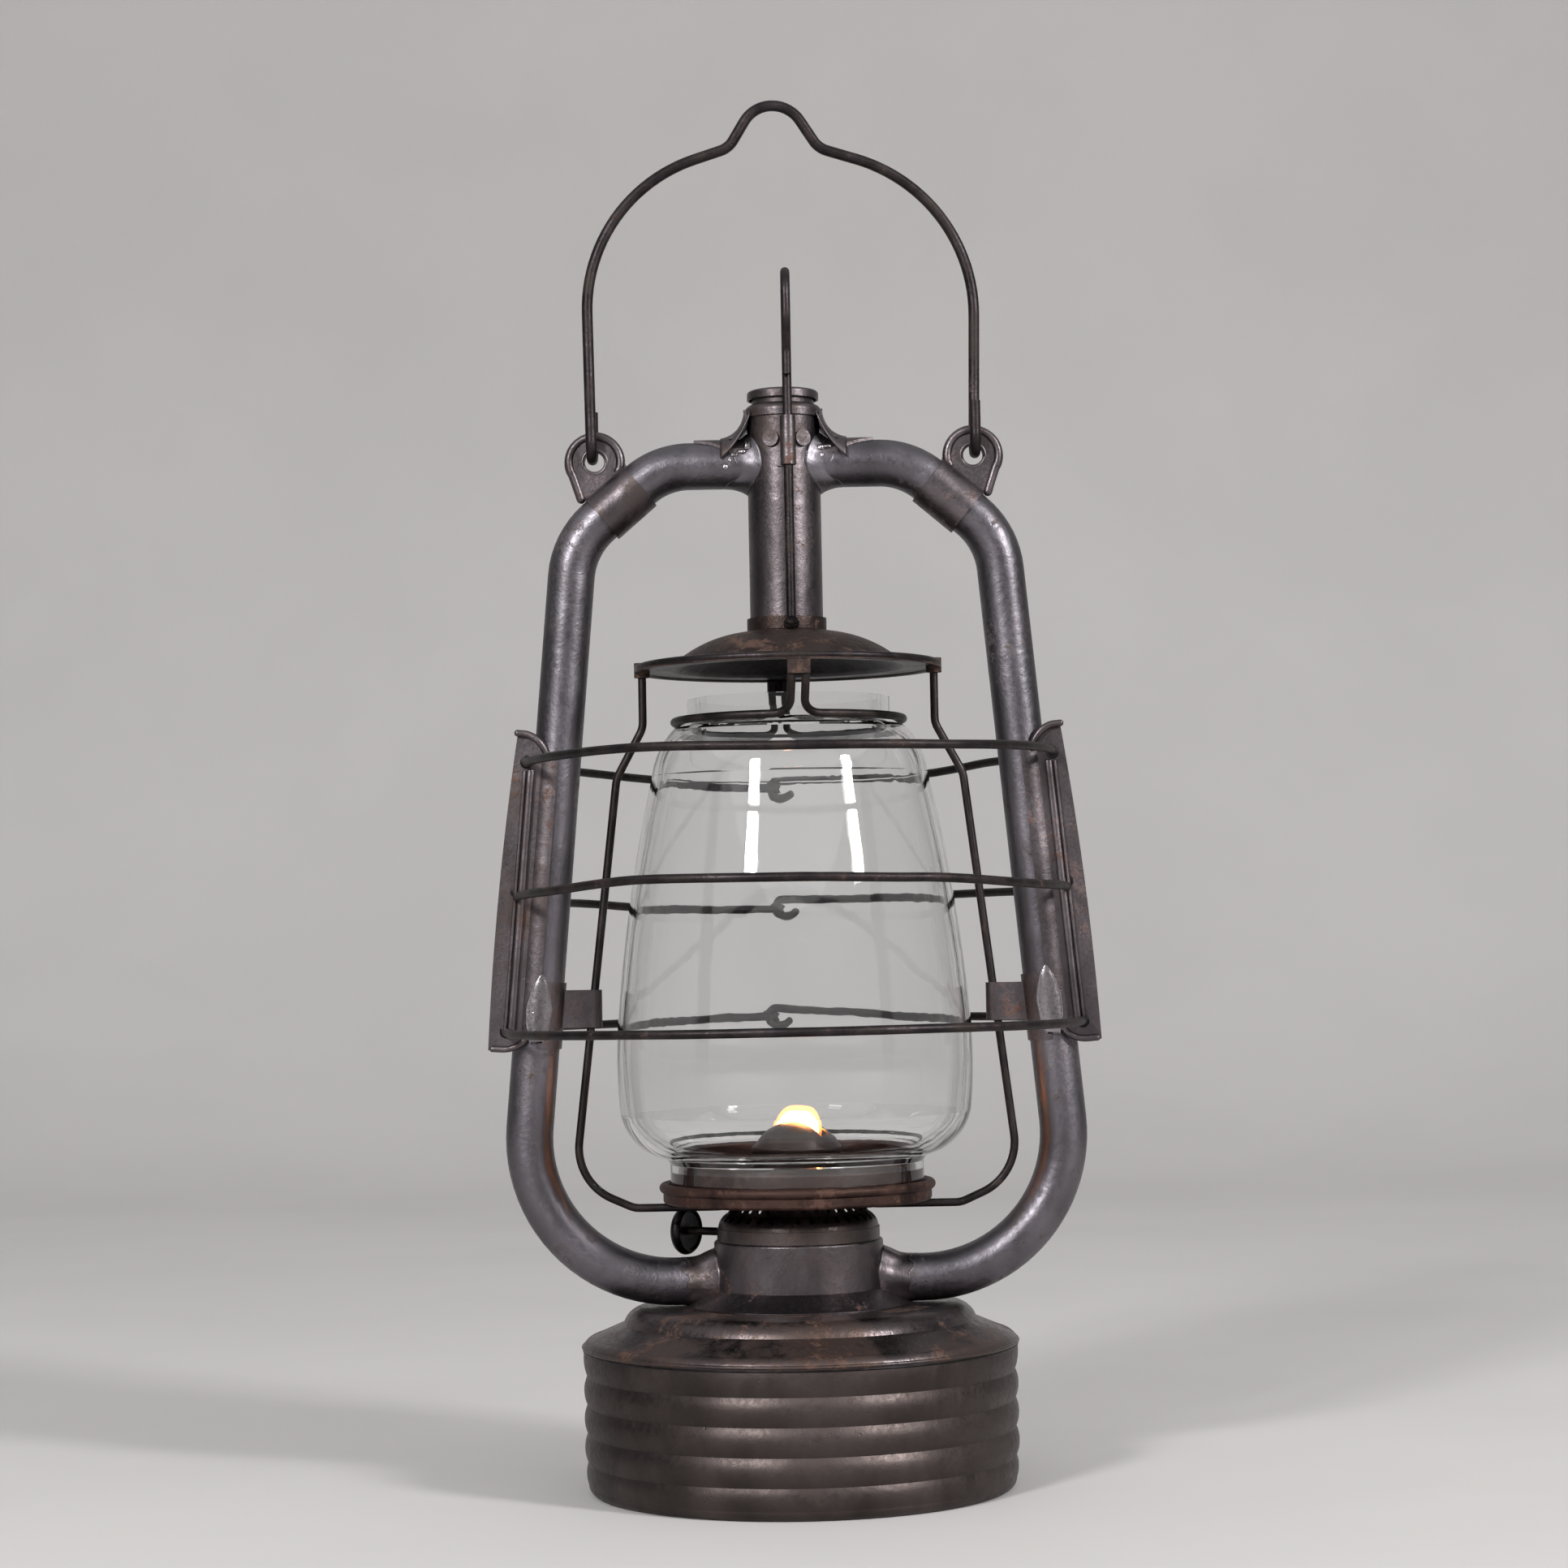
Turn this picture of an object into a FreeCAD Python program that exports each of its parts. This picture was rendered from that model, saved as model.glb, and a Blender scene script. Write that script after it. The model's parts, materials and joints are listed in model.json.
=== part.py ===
import FreeCAD, Part
import math
import os
import re
import Sketcher

# Barn lantern: a fount of lamp oil, two air tubes that rise from the burner collar to the chimney,
# and a globe that lifts between them with its canopy, cradle wire and plate.
# Millimetres, +Z up, origin on the table at the middle of the base, front of the lantern at -Y.

doc = FreeCAD.newDocument("barn_lantern")
sheet = doc.addObject("Spreadsheet::Sheet", "Sizes")

SIZES = {
    # fount
    "fount_radius": 53.0, "fount_wall": 0.7, "band_base": 0.8, "band_pitch": 6.9, "band_count": 4,
    "band_depth": 0.8, "foot_inset": 2.6, "foot_round": 2.4, "seam_height": 34.6,
    "skirt_height": 35.2, "shoulder_radius": 50.6, "shoulder_height": 37.6, "shoulder_round": 2.8,
    "step_radius": 43.1, "step_height": 40.8, "ridge_radius": 38.0, "chamber_top": 44.6,
    "ridge_round": 5.0, "fount_hole": 12.0,
    # filler, behind the burner
    "filler_distance": 33.0, "filler_angle": 67.0, "filler_bore": 4.6, "filler_neck_radius": 5.5,
    "filler_bottom": 43.2, "filler_top": 49.2, "gasket_bore": 4.2, "gasket_radius": 5.8,
    "gasket_depth": 0.9, "cap_bore": 6.0, "cap_radius": 7.0, "cap_bottom": 46.4, "cap_top": 51.4,
    "cap_grip_radius": 0.5, "cap_grip_count": 20,
    # burner
    "collar_bore": 20.0, "collar_radius": 20.7, "collar_top": 60.4, "collar_round": 0.7,
    "skirt_rise": 4.0, "skirt_radius": 27.2, "skirt_wall": 0.5,
    "plug_radius": 11.9, "plug_flange": 14.0, "plug_bottom": 43.0, "plug_depth": 0.6,
    "base_radius": 19.93, "base_wall": 0.5, "base_bottom": 57.2, "base_top": 63.4,
    "vent_radius": 1.8, "vent_circle": 14.5, "vent_count": 10,
    "cone_waist_radius": 17.3, "cone_waist": 67.0, "cone_shoulder": 4.2, "cone_flare": 5.0,
    "cone_neck": 16.2, "cone_top": 69.4, "cone_wall": 0.4,
    "cone_hole_radius": 0.75, "cone_hole_count": 36, "cone_low_row": 2.6, "cone_high_row": 4.9,
    "wick_angle": 148.0, "wick_width": 12.7, "wick_thick": 2.0, "wick_bottom": 10.5, "wick_top": 85.3,
    "wick_tube_width": 14.3, "wick_tube_thick": 3.6, "wick_tube_wall": 0.6,
    "wick_tube_bottom": 38.0, "wick_tube_top": 83.6,
    "shaft_height": 61.9, "shaft_radius": 1.0, "shaft_offset": 4.0, "shaft_back": 8.0,
    "knob_distance": 30.0, "knob_radius": 6.0, "knob_depth": 2.8,
    "spur_radius": 2.85, "spur_root": 2.1, "spur_depth": 0.7, "spur_spacing": 7.0, "spur_teeth": 12,
    # globe, its plate and the burner dome on the plate
    "plate_bottom": 69.7, "plate_floor": 70.4, "plate_hole": 10.8, "plate_radius": 32.9,
    "bead_radius": 1.2, "bead_height": 73.5, "plate_seat": 31.4, "plate_vent_radius": 1.3,
    "plate_vent_circle": 25.5, "plate_vent_count": 16, "plate_vent_turn": 11.25,
    "dome_radius": 11.2, "dome_wall": 0.5, "dome_flange": 14.0, "dome_neck": 79.2,
    "dome_spring_radius": 9.9, "dome_spring": 81.9, "dome_crown": 88.4, "dome_slot": 4.2,
    "dome_slot_length": 17.0, "dome_slot_bottom": 83.8,
    "globe_foot_radius": 31.1, "globe_foot_top": 79.3, "globe_turn_radius": 31.9,
    "globe_turn_height": 80.6, "globe_belly_round": 14.0, "globe_belly_radius": 43.0,
    "globe_belly": 91.5, "globe_side_radius": 43.45, "globe_side": 112.0, "globe_side_round": 122.0,
    "globe_shoulder_radius": 34.0, "globe_shoulder": 174.2, "globe_wall_round": 423.0,
    "globe_shoulder_round": 20.0, "globe_top_radius": 28.4, "globe_top_turn": 185.9,
    "globe_neck_radius": 25.0, "globe_neck_bottom": 187.4, "globe_top": 192.9, "glass_wall": 1.8,
    # canopy
    "canopy_bore": 9.3, "canopy_collar": 9.8, "canopy_top": 212.7, "canopy_root": 209.3,
    "canopy_dome_radius": 28.7, "canopy_dome_height": 201.4, "canopy_dome_round": 31.0,
    "canopy_radius": 37.7, "canopy_flat": 201.2, "canopy_rim_round": 0.9, "canopy_rim_bottom": 199.9,
    "canopy_wall": 0.6, "socket_reach": 36.0, "socket_radius": 1.95, "socket_bottom": 198.8,
    "socket_top": 202.4, "tab_bottom": 196.4, "tab_half_width": 2.7, "tab_depth": 0.8,
    # chimney
    "chimney_radius": 9.0, "chimney_wall": 0.5, "chimney_bottom": 207.0, "chimney_top": 263.9,
    "saddle_depth": 0.6, "saddle_bottom": 262.4, "saddle_top": 265.7, "saddle_round": 1.9,
    "saddle_foot": 13.4, "saddle_reach": 22.2, "saddle_half_width": 5.4, "saddle_tip": 1.8,
    "saddle_lap": 1.6, "saddle_sweep": 1.5,
    "cap_neck_radius": 7.7, "cap_neck_bottom": 261.0, "top_cap_radius": 8.85, "top_cap_height": 269.2,
    "top_cap_rim": 2.2, "top_cap_roll": 0.8,
    # air tubes
    "tube_radius": 5.8, "tube_wall": 0.5, "tube_low": 50.6, "tube_start": 19.4,
    "tube_corner_reach": 68.8, "tube_low_bend": 35.0, "tube_high_reach": 52.3, "tube_high": 232.3,
    "tube_high_bend": 20.0, "ear_reach": 40.6, "ear_height": 242.34, "arm_reach": 30.5,
    "arm_height": 251.0, "arm_bend": 19.0,
    # ears and bail
    "sleeve_length": 12.4, "sleeve_wall": 0.65, "ear_eye_reach": 46.8, "ear_eye_height": 252.5,
    "ear_eye_radius": 7.3, "ear_hole": 2.4, "ear_depth": 1.2,
    "bail_wire": 1.35, "bail_reach": 47.35, "bail_pivot": 257.3, "bail_hook": 4.15, "bail_tail": 8.2,
    "bail_left_reach": 48.2, "bail_left_shoulder": 318.0, "bail_right_reach": 48.7,
    "bail_right_shoulder": 318.9, "bail_shoulder_bend": 40.0, "bail_left_dip": 12.2,
    "bail_right_dip": 10.1, "bail_dip": 330.2, "bail_dip_bend": 6.0, "bail_peak_reach": 1.5,
    "bail_peak": 348.1, "bail_peak_bend": 8.2,
    # lift rod and its guide
    "rod_wire": 1.15, "rod_distance": 11.2, "rod_aside": 1.1, "rod_bottom": 211.6, "loop_top": 296.8,
    "loop_half_width": 6.85, "loop_waist": 284.0, "loop_foot": 276.0, "tail_top": 277.6,
    "tail_bottom": 271.4, "foot_tilt": 50.0, "foot_distance": 12.6, "foot_height": 210.1,
    "foot_radius": 1.9, "foot_depth": 0.8, "rivet_radius": 1.55, "rivet_head": 0.8,
    "rivet_shank": 0.8, "rivet_grip": 1.8,
    "guide_bottom": 249.5, "guide_top": 261.5, "guide_bore": 1.22, "guide_radius": 1.9,
    "shield_depth": 0.6, "shield_half_width": 5.9, "shield_tip": 1.8, "shield_shoulder": 255.0,
    "shield_corner": 3.0, "bridge_width": 1.6, "bridge_start": 1.1,
    "dimple_radius": 2.0, "dimple_height": 256.4, "dimple_angle": 23.0, "dimple_turn": 5.0,
    "dimple_depth": 0.6,
    # cradle wire, clips and brackets
    "cradle_wire": 1.0, "cradle_top": 201.4, "cradle_neck": 186.4,
    "cradle_kink_reach": 42.7, "cradle_kink": 174.0, "cradle_low_reach": 54.5, "cradle_low": 75.0,
    "cradle_toe_reach": 40.0, "cradle_foot": 68.6, "cradle_ring": 18.4, "cradle_ring_angle": 8.0,
    "cradle_bend": 13.5, "cradle_ring_bend": 2.2,
    "clip_wire": 1.0, "clip_ring": 28.2, "clip_height": 187.5, "clip_gap_angle": 15.0,
    "clip_half_gap": 1.7, "clip_root": 35.6, "clip_top": 200.0, "clip_bend": 5.0, "clip_turn": 4.0,
    "clip_drop": 4.5,
    "bracket_bottom": 113.0, "bracket_top": 122.2, "bracket_centre": 48.93, "bracket_inside": 1.2,
    "bracket_wall": 0.6, "pad_depth": 0.5, "pad_bottom": 108.4, "pad_top": 124.6,
    # guards
    "guard_wire": 1.1, "guard_offset": 7.38, "guard_top": 178.2, "guard_middle": 146.6,
    "guard_bottom": 112.4, "guard_hole": 1.6,
    "fin_depth": 0.8, "fin_plane": 4.9, "fin_top_reach": 66.4, "fin_top": 185.7,
    "fin_bottom_reach": 74.9, "fin_bottom": 108.0, "fin_inner_top": 180.5, "fin_inner_bottom": 110.5,
    "fin_fold": 3.0, "fin_strip_depth": 0.5,
    # running gap between soldered pieces
    "solder_gap": 0.05,
}

for row, (alias, number) in enumerate(SIZES.items(), start=1):
    sheet.set("A%d" % row, alias)
    sheet.set("B%d" % row, repr(number))
    sheet.setAlias("B%d" % row, alias)
doc.recompute()

parts = {}
FUNCTIONS = {"cos", "sin", "tan", "atan", "sqrt", "deg"}


def size(text):
    """Number that a formula of sheet aliases gives."""
    return float(getattr(sheet.evalExpression(text), "Value", sheet.evalExpression(text)))


def bound(text):
    """The same formula, as another object of the document has to write it."""
    def prefix(match):
        word = match.group(0)
        return word if word in FUNCTIONS else "Sizes." + word
    return re.sub(r"[a-z][a-z_0-9]*", prefix, text)


def vec(x, y, z):
    return FreeCAD.Vector(x, y, z)


def keep(label, feature):
    """Name a finished sub-part."""
    feature.Label = label
    parts[label] = feature
    return feature


def bind(feature, **formulas):
    """Bind properties of a feature to formulas of the sheet."""
    for name, text in formulas.items():
        feature.setExpression(name, bound(text))
    return feature


# ---------------------------------------------------------------- sketches and turned bodies

def origin_plane(body, role):
    return [item for item in body.Origin.OriginFeatures if item.Role == role][0]


def flat_sketch(body, name, role):
    sketch = body.newObject("Sketcher::SketchObject", name)
    sketch.AttachmentSupport = (origin_plane(body, role), [""])
    sketch.MapMode = "FlatFace"
    return sketch


def arc_through(start, end, radius, turn):
    """Arc between two points; turn is 1 for anticlockwise and -1 for clockwise travel."""
    middle = (start + end) * 0.5
    chord = end - start
    rise = math.sqrt(max(radius ** 2 - (chord.Length / 2) ** 2, 0.0))
    normal = vec(-chord.y, chord.x, 0).normalize()
    centre = middle + normal * rise * turn
    circle = Part.Circle(centre, vec(0, 0, 1), radius)
    first = math.atan2(start.y - centre.y, start.x - centre.x)
    last = math.atan2(end.y - centre.y, end.x - centre.x)
    if turn < 0:
        first, last = last, first
    return Part.ArcOfCircle(circle, first, last)


def trace(sketch, outline):
    """Closed outline. Each corner is (x, y) reached by a line, or (x, y, radius, turn) by an arc."""
    corners = [vec(size(item[0]), size(item[1]), 0) for item in outline]
    ends = []
    for index, item in enumerate(outline):
        start = corners[index - 1]
        end = corners[index]
        if len(item) == 2:
            sketch.addGeometry(Part.LineSegment(start, end))
            ends.append((1, 2))
            continue
        sketch.addGeometry(arc_through(start, end, size(item[2]), item[3]))
        ends.append((1, 2) if item[3] > 0 else (2, 1))
        number = sketch.addConstraint(Sketcher.Constraint("Radius", index, size(item[2])))
        sketch.setExpression("Constraints[%d]" % number, bound(item[2]))
    for index, item in enumerate(outline):
        following = (index + 1) % len(outline)
        sketch.addConstraint(Sketcher.Constraint(
            "Coincident", index, ends[index][1], following, ends[following][0]))
        fix_corner(sketch, index, ends[index][1], item, corners[index])


def fix_corner(sketch, edge, end, item, corner):
    for kind, axis, text, value in (("DistanceX", -2, item[0], corner.x),
                                    ("DistanceY", -1, item[1], corner.y)):
        if abs(value) < 1e-9:
            sketch.addConstraint(Sketcher.Constraint("PointOnObject", edge, end, axis))
            continue
        number = sketch.addConstraint(Sketcher.Constraint(kind, -1, 1, edge, end, value))
        sketch.setExpression("Constraints[%d]" % number, bound(text))


def lathe(name, *outline):
    """Body turned round the vertical axis from an outline of (radius, height) corners."""
    body = doc.addObject("PartDesign::Body", name)
    sketch = flat_sketch(body, name + "_outline", "XZ_Plane")
    trace(sketch, outline)
    turn = body.newObject("PartDesign::Revolution", name + "_turn")
    turn.Profile = sketch
    turn.ReferenceAxis = (sketch, ["V_Axis"])
    turn.Angle = 360
    body.Tip = turn
    return body


def ring(name, bore, radius, bottom, top):
    return lathe(name, (bore, bottom), (radius, bottom), (radius, top), (bore, top))



def cylinder(name, radius, length, base, direction=(0, 0, 1)):
    """Cylinder whose radius and length are formulas, standing on a point."""
    feature = doc.addObject("Part::Cylinder", name)
    bind(feature, Radius=radius, Height=length)
    turn = FreeCAD.Rotation(vec(0, 0, 1), vec(*direction))
    feature.Placement = FreeCAD.Placement(vec(*base), turn)
    return feature


def box(name, length, width, height, centre, angle=0.0):
    """Box whose sides are formulas, with the middle of its bottom at a point, turned about +Z."""
    feature = doc.addObject("Part::Box", name)
    bind(feature, Length=length, Width=width, Height=height)
    turn = FreeCAD.Rotation(vec(0, 0, 1), angle)
    corner = turn.multVec(vec(-size(length) / 2, -size(width) / 2, 0))
    feature.Placement = FreeCAD.Placement(vec(*centre) + corner, turn)
    return feature


def solids(name, shapes):
    """Group of shapes, used as a cutting tool or as a node of separate solids."""
    feature = doc.addObject("Part::Feature", name)
    feature.Shape = Part.makeCompound(shapes)
    return feature


def cut(name, base, *tools):
    for number, tool in enumerate(tools):
        feature = doc.addObject("Part::Cut", "%s_%d" % (name, number))
        feature.Base = base
        feature.Tool = tool
        base = feature
    return base


def fuse(name, *members):
    feature = doc.addObject("Part::MultiFuse", name)
    feature.Shapes = list(members)
    feature.Refine = True
    return feature


def common(name, *members):
    feature = doc.addObject("Part::MultiCommon", name)
    feature.Shapes = list(members)
    return feature


def spread(count, radius, start=0.0):
    """Angles and points evenly spread round the vertical axis."""
    for number in range(int(count)):
        angle = math.radians(start) + 2 * math.pi * number / int(count)
        yield angle, radius * math.cos(angle), radius * math.sin(angle)


# ---------------------------------------------------------------- bent wires and tubes

def corner_arc(before, corner, after, radius):
    """Arc that rounds one corner of a route, with the points where it leaves the two runs."""
    to_before = (before - corner).normalize()
    to_after = (after - corner).normalize()
    half = to_before.getAngle(to_after) / 2
    reach = radius / math.tan(half)
    middle = (to_before + to_after).normalize()
    crest = corner + middle * (radius / math.sin(half) - radius)
    return corner + to_before * reach, crest, corner + to_after * reach


def route_wire(points, bends):
    """Route of straight runs joined by tangent arcs, one bend radius for each inner point."""
    edges = []
    here = points[0]
    for number, radius in enumerate(bends, start=1):
        start, crest, end = corner_arc(points[number - 1], points[number], points[number + 1], radius)
        if (start - here).Length > 1e-4:
            edges.append(Part.LineSegment(here, start).toShape())
        edges.append(Part.Arc(start, crest, end).toShape())
        here = end
    if (points[-1] - here).Length > 1e-4:
        edges.append(Part.LineSegment(here, points[-1]).toShape())
    return Part.Wire(edges)


def sweep(points, bends, radius):
    """Round bar along a route."""
    wire = route_wire(points, bends)
    section = Part.Wire([Part.makeCircle(radius, points[0], points[1] - points[0])])
    bar = wire.makePipeShell([section], True, False)
    expected = math.pi * radius ** 2 * wire.Length
    if abs(bar.Volume - expected) > 0.01 * expected:
        raise RuntimeError("a bent bar has %.1f mm3 instead of %.1f" % (bar.Volume, expected))
    return bar


def bar(name, points, bends, radius):
    feature = doc.addObject("Part::Feature", name)
    feature.Shape = sweep(points, bends, radius)
    return feature


def mirrored(points):
    return [vec(-p.x, p.y, p.z) for p in points]


def circle_corners(radius, height, first, last, steps):
    """Corners of a polygon round a circle; bends of the same radius turn it into the circle."""
    turn = math.radians(last - first) / steps
    for number in range(steps):
        angle = math.radians(first) + turn * (number + 0.5)
        reach = radius / math.cos(turn / 2)
        yield vec(reach * math.cos(angle), reach * math.sin(angle), height)


# ---------------------------------------------------------------- fount

def make_fount():
    valley = "fount_radius - band_depth"
    bulge = "band_pitch * band_pitch / (8 * band_depth) + band_depth / 2"
    outline = [("0 * fount_radius", "0 * fount_radius"),
               ("fount_radius - foot_inset", "0 * fount_radius"),
               (valley, "band_base + 1.6", "foot_round", 1),
               (valley, "band_base + band_pitch", bulge, 1)]
    for band in range(2, int(size("band_count")) + 1):
        outline.append((valley, "band_base + %d * band_pitch" % band, bulge, 1))
    outline += [("fount_radius - 0.1", "seam_height", "1.5 * (%s)" % bulge, 1),
                (valley + " - fount_wall", "seam_height"),
                (valley + " - fount_wall", "fount_wall"),
                ("0 * fount_radius", "fount_wall")]
    keep("fount_body", lathe("fount_body_turned", *outline))

    shell = lathe(
        "fount_top_turned",
        ("fount_radius - fount_wall", "seam_height"),
        ("fount_radius", "seam_height"),
        ("fount_radius", "skirt_height"),
        ("shoulder_radius", "shoulder_height", "shoulder_round", 1),
        ("step_radius", "step_height"),
        ("ridge_radius", "chamber_top", "ridge_round", 1),
        ("fount_hole", "chamber_top"),
        ("fount_hole", "chamber_top - fount_wall"),
        ("ridge_radius", "chamber_top - fount_wall"),
        ("step_radius - fount_wall", "step_height - 0.2", "ridge_round - fount_wall", -1),
        ("shoulder_radius - 0.3", "shoulder_height - fount_wall"),
        ("fount_radius - fount_wall", "skirt_height"))
    filler_hole = cylinder("filler_hole", "filler_neck_radius + solder_gap", "20 * fount_wall",
                           filler_point("filler_bottom - 4"))
    keep("fount_top", cut("fount_top_cut", shell, filler_hole))


def filler_point(height):
    angle = math.radians(size("filler_angle"))
    reach = size("filler_distance")
    return reach * math.cos(angle), reach * math.sin(angle), size(height)


def make_filler():
    place = FreeCAD.Placement(vec(*filler_point("0 * cap_top")), FreeCAD.Rotation())
    neck = ring("filler_neck_turned", "filler_bore", "filler_neck_radius", "filler_bottom", "filler_top")
    gasket = ring("filler_gasket_turned", "gasket_bore", "gasket_radius",
                  "filler_top", "filler_top + gasket_depth")
    cap = lathe("filler_cap_turned",
                ("cap_bore", "cap_bottom"),
                ("cap_radius", "cap_bottom"),
                ("cap_radius", "cap_top - 0.8"),
                ("cap_radius - 0.8", "cap_top", "cap_grip_radius + 0.25", 1),
                ("0 * cap_top", "cap_top"),
                ("0 * cap_top", "filler_top + gasket_depth"),
                ("cap_bore", "filler_top + gasket_depth"))
    for body in (neck, gasket, cap):
        body.Placement = place
    grip = size("cap_grip_radius")
    grooves = []
    for angle, x, y in spread(size("cap_grip_count"), size("cap_radius") + grip * 0.55):
        groove = Part.makeCylinder(grip, size("cap_top - cap_bottom"), vec(x, y, size("cap_bottom")))
        groove.translate(place.Base)
        grooves.append(groove)
    keep("filler_neck", neck)
    keep("filler_gasket", gasket)
    keep("filler_cap", cut("filler_cap_grip", cap, solids("cap_grooves", grooves)))


# ---------------------------------------------------------------- air tubes, ears and chimney

def tube_route(side):
    points = [vec(size("tube_start"), 0, size("tube_low")),
              vec(size("tube_corner_reach"), 0, size("tube_low")),
              vec(size("tube_high_reach"), 0, size("tube_high")),
              vec(size("ear_reach"), 0, size("ear_height"))]
    return points if side > 0 else mirrored(points)


def tube_bends():
    return [size("tube_low_bend"), size("tube_high_bend")]


def tube_core(radius, side):
    return sweep(tube_route(side), tube_bends(), size(radius))


def arm_route(side):
    joint = vec(size("ear_reach"), 0, size("ear_height"))
    corner = vec(size("arm_reach"), 0, size("arm_height"))
    points = [joint + (corner - joint).normalize() * (2 * size("solder_gap")),
              corner,
              vec(0, 0, size("arm_height"))]
    return points if side > 0 else mirrored(points)


def tube_lean():
    """Unit vector up the straight of the right side tube."""
    low, high = tube_route(1)[1:3]
    return (high - low).normalize()


def tube_at(height):
    """Distance of the straight side tube's centre line from the lantern's axis at a height."""
    low, high = tube_route(1)[1:3]
    return low.x + (high.x - low.x) * (height - low.z) / (high.z - low.z)


def hollow(name, points, bends):
    """Round tube along a route, with a wall of sheet metal."""
    outer = bar(name + "_outer", points, bends, size("tube_radius"))
    inner = bar(name + "_inner", points, bends, size("tube_radius - tube_wall"))
    return cut(name + "_tube", outer, inner)


def make_tubes():
    for side, word in ((1, "right"), (-1, "left")):
        keep("side_tube_" + word, hollow("side_" + word, tube_route(side), tube_bends()))
        arch = hollow("arch_" + word, arm_route(side), [size("arm_bend")])
        core = cylinder("arch_end_" + word, "chimney_radius + solder_gap", "4 * tube_radius",
                        (0, 0, size("arm_height - 2 * tube_radius")))
        keep("arch_tube_" + word, cut("arch_cut_" + word, arch, core))


def make_ear(side, word):
    """Clamp sleeve round the joint of two tubes, with a round eye for the bail."""
    centre = vec(side * size("ear_reach"), 0, size("ear_height"))
    points = tube_route(side)
    along = (points[3] - points[2]).normalize()
    foot = centre - along * (size("sleeve_length") / 2)
    sleeve = cylinder("sleeve_" + word, "tube_radius + solder_gap + sleeve_wall", "sleeve_length",
                      tuple(foot), tuple(along))
    eye_base = (side * size("ear_eye_reach"), size("ear_depth") / 2, size("ear_eye_height"))
    eye = cylinder("eye_" + word, "ear_eye_radius", "ear_depth", eye_base, (0, -1, 0))
    web = solids("web_" + word, [ear_web(side, centre, along)])
    blank = fuse("ear_blank_" + word, sleeve, eye, web)
    bore = cylinder("sleeve_bore_" + word, "tube_radius + solder_gap", "2 * sleeve_length",
                    tuple(centre - along * size("sleeve_length")), tuple(along))
    hole_base = (side * size("ear_eye_reach"), size("ear_depth"), size("ear_eye_height"))
    hole = cylinder("ear_hole_" + word, "ear_hole", "2 * ear_depth", hole_base, (0, -1, 0))
    keep("bail_ear_" + word, cut("ear_" + word, blank, bore, hole))


def ear_web(side, centre, along):
    """Sheet that joins the sleeve to the eye, tangent to the eye on both sides."""
    eye = vec(side * size("ear_eye_reach"), 0, size("ear_eye_height"))
    half = size("sleeve_length") / 2
    out = (eye - centre).normalize()
    across = vec(-out.z, 0, out.x) * size("ear_eye_radius")
    if across.dot(along) < 0:
        across = across * -1
    corners = [centre - along * half, eye - across, eye + across, centre + along * (half * 0.75)]
    face = Part.Face(Part.makePolygon(corners + corners[:1]))
    depth = size("ear_depth")
    face.translate(vec(0, -depth / 2, 0))
    return face.extrude(vec(0, depth, 0))


def make_chimney():
    pipe = ring("chimney_pipe", "chimney_radius - chimney_wall", "chimney_radius",
                "chimney_bottom", "chimney_top")
    ports = cylinder("chimney_ports", "tube_radius - tube_wall", "4 * chimney_radius",
                     (-size("2 * chimney_radius"), 0, size("arm_height")), (1, 0, 0))
    keep("chimney_tube", cut("chimney_cut", pipe, ports))

    under = "top_cap_height - top_cap_rim"
    keep("chimney_cap", lathe(
        "chimney_cap_turned",
        ("cap_neck_radius - chimney_wall", "cap_neck_bottom"),
        ("cap_neck_radius", "cap_neck_bottom"),
        ("cap_neck_radius", "top_cap_height - chimney_wall"),
        ("top_cap_radius - chimney_wall", "top_cap_height - top_cap_roll"),
        ("top_cap_radius - chimney_wall", under),
        ("top_cap_radius", under),
        ("top_cap_radius", "top_cap_height - top_cap_roll"),
        ("top_cap_radius - top_cap_roll", "top_cap_height", "1.03 * top_cap_roll", 1),
        ("0 * top_cap_roll", "top_cap_height"),
        ("0 * top_cap_roll", "top_cap_height - chimney_wall"),
        ("cap_neck_radius - chimney_wall", "top_cap_height - chimney_wall")))

    shoulder = "saddle_top - saddle_round"
    band = lathe(
        "saddle_band",
        ("chimney_radius + solder_gap", "saddle_bottom"),
        ("chimney_radius + saddle_depth", "saddle_bottom"),
        ("chimney_radius + saddle_depth", shoulder),
        ("cap_neck_radius + solder_gap", "saddle_top", "saddle_round + 0.05", 1),
        ("cap_neck_radius + solder_gap", "saddle_top - saddle_depth"),
        ("chimney_radius + solder_gap", shoulder + " + 0.1"))
    core = cylinder("saddle_core", "chimney_radius + solder_gap", "30 * saddle_depth",
                    (0, 0, size("saddle_bottom - 20 * saddle_depth")))
    wings = [cut("wing_cut_%d" % side, saddle_wing(side), core) for side in (1, -1)]
    keep("chimney_saddle", fuse("saddle_blank", band, *wings))


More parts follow.
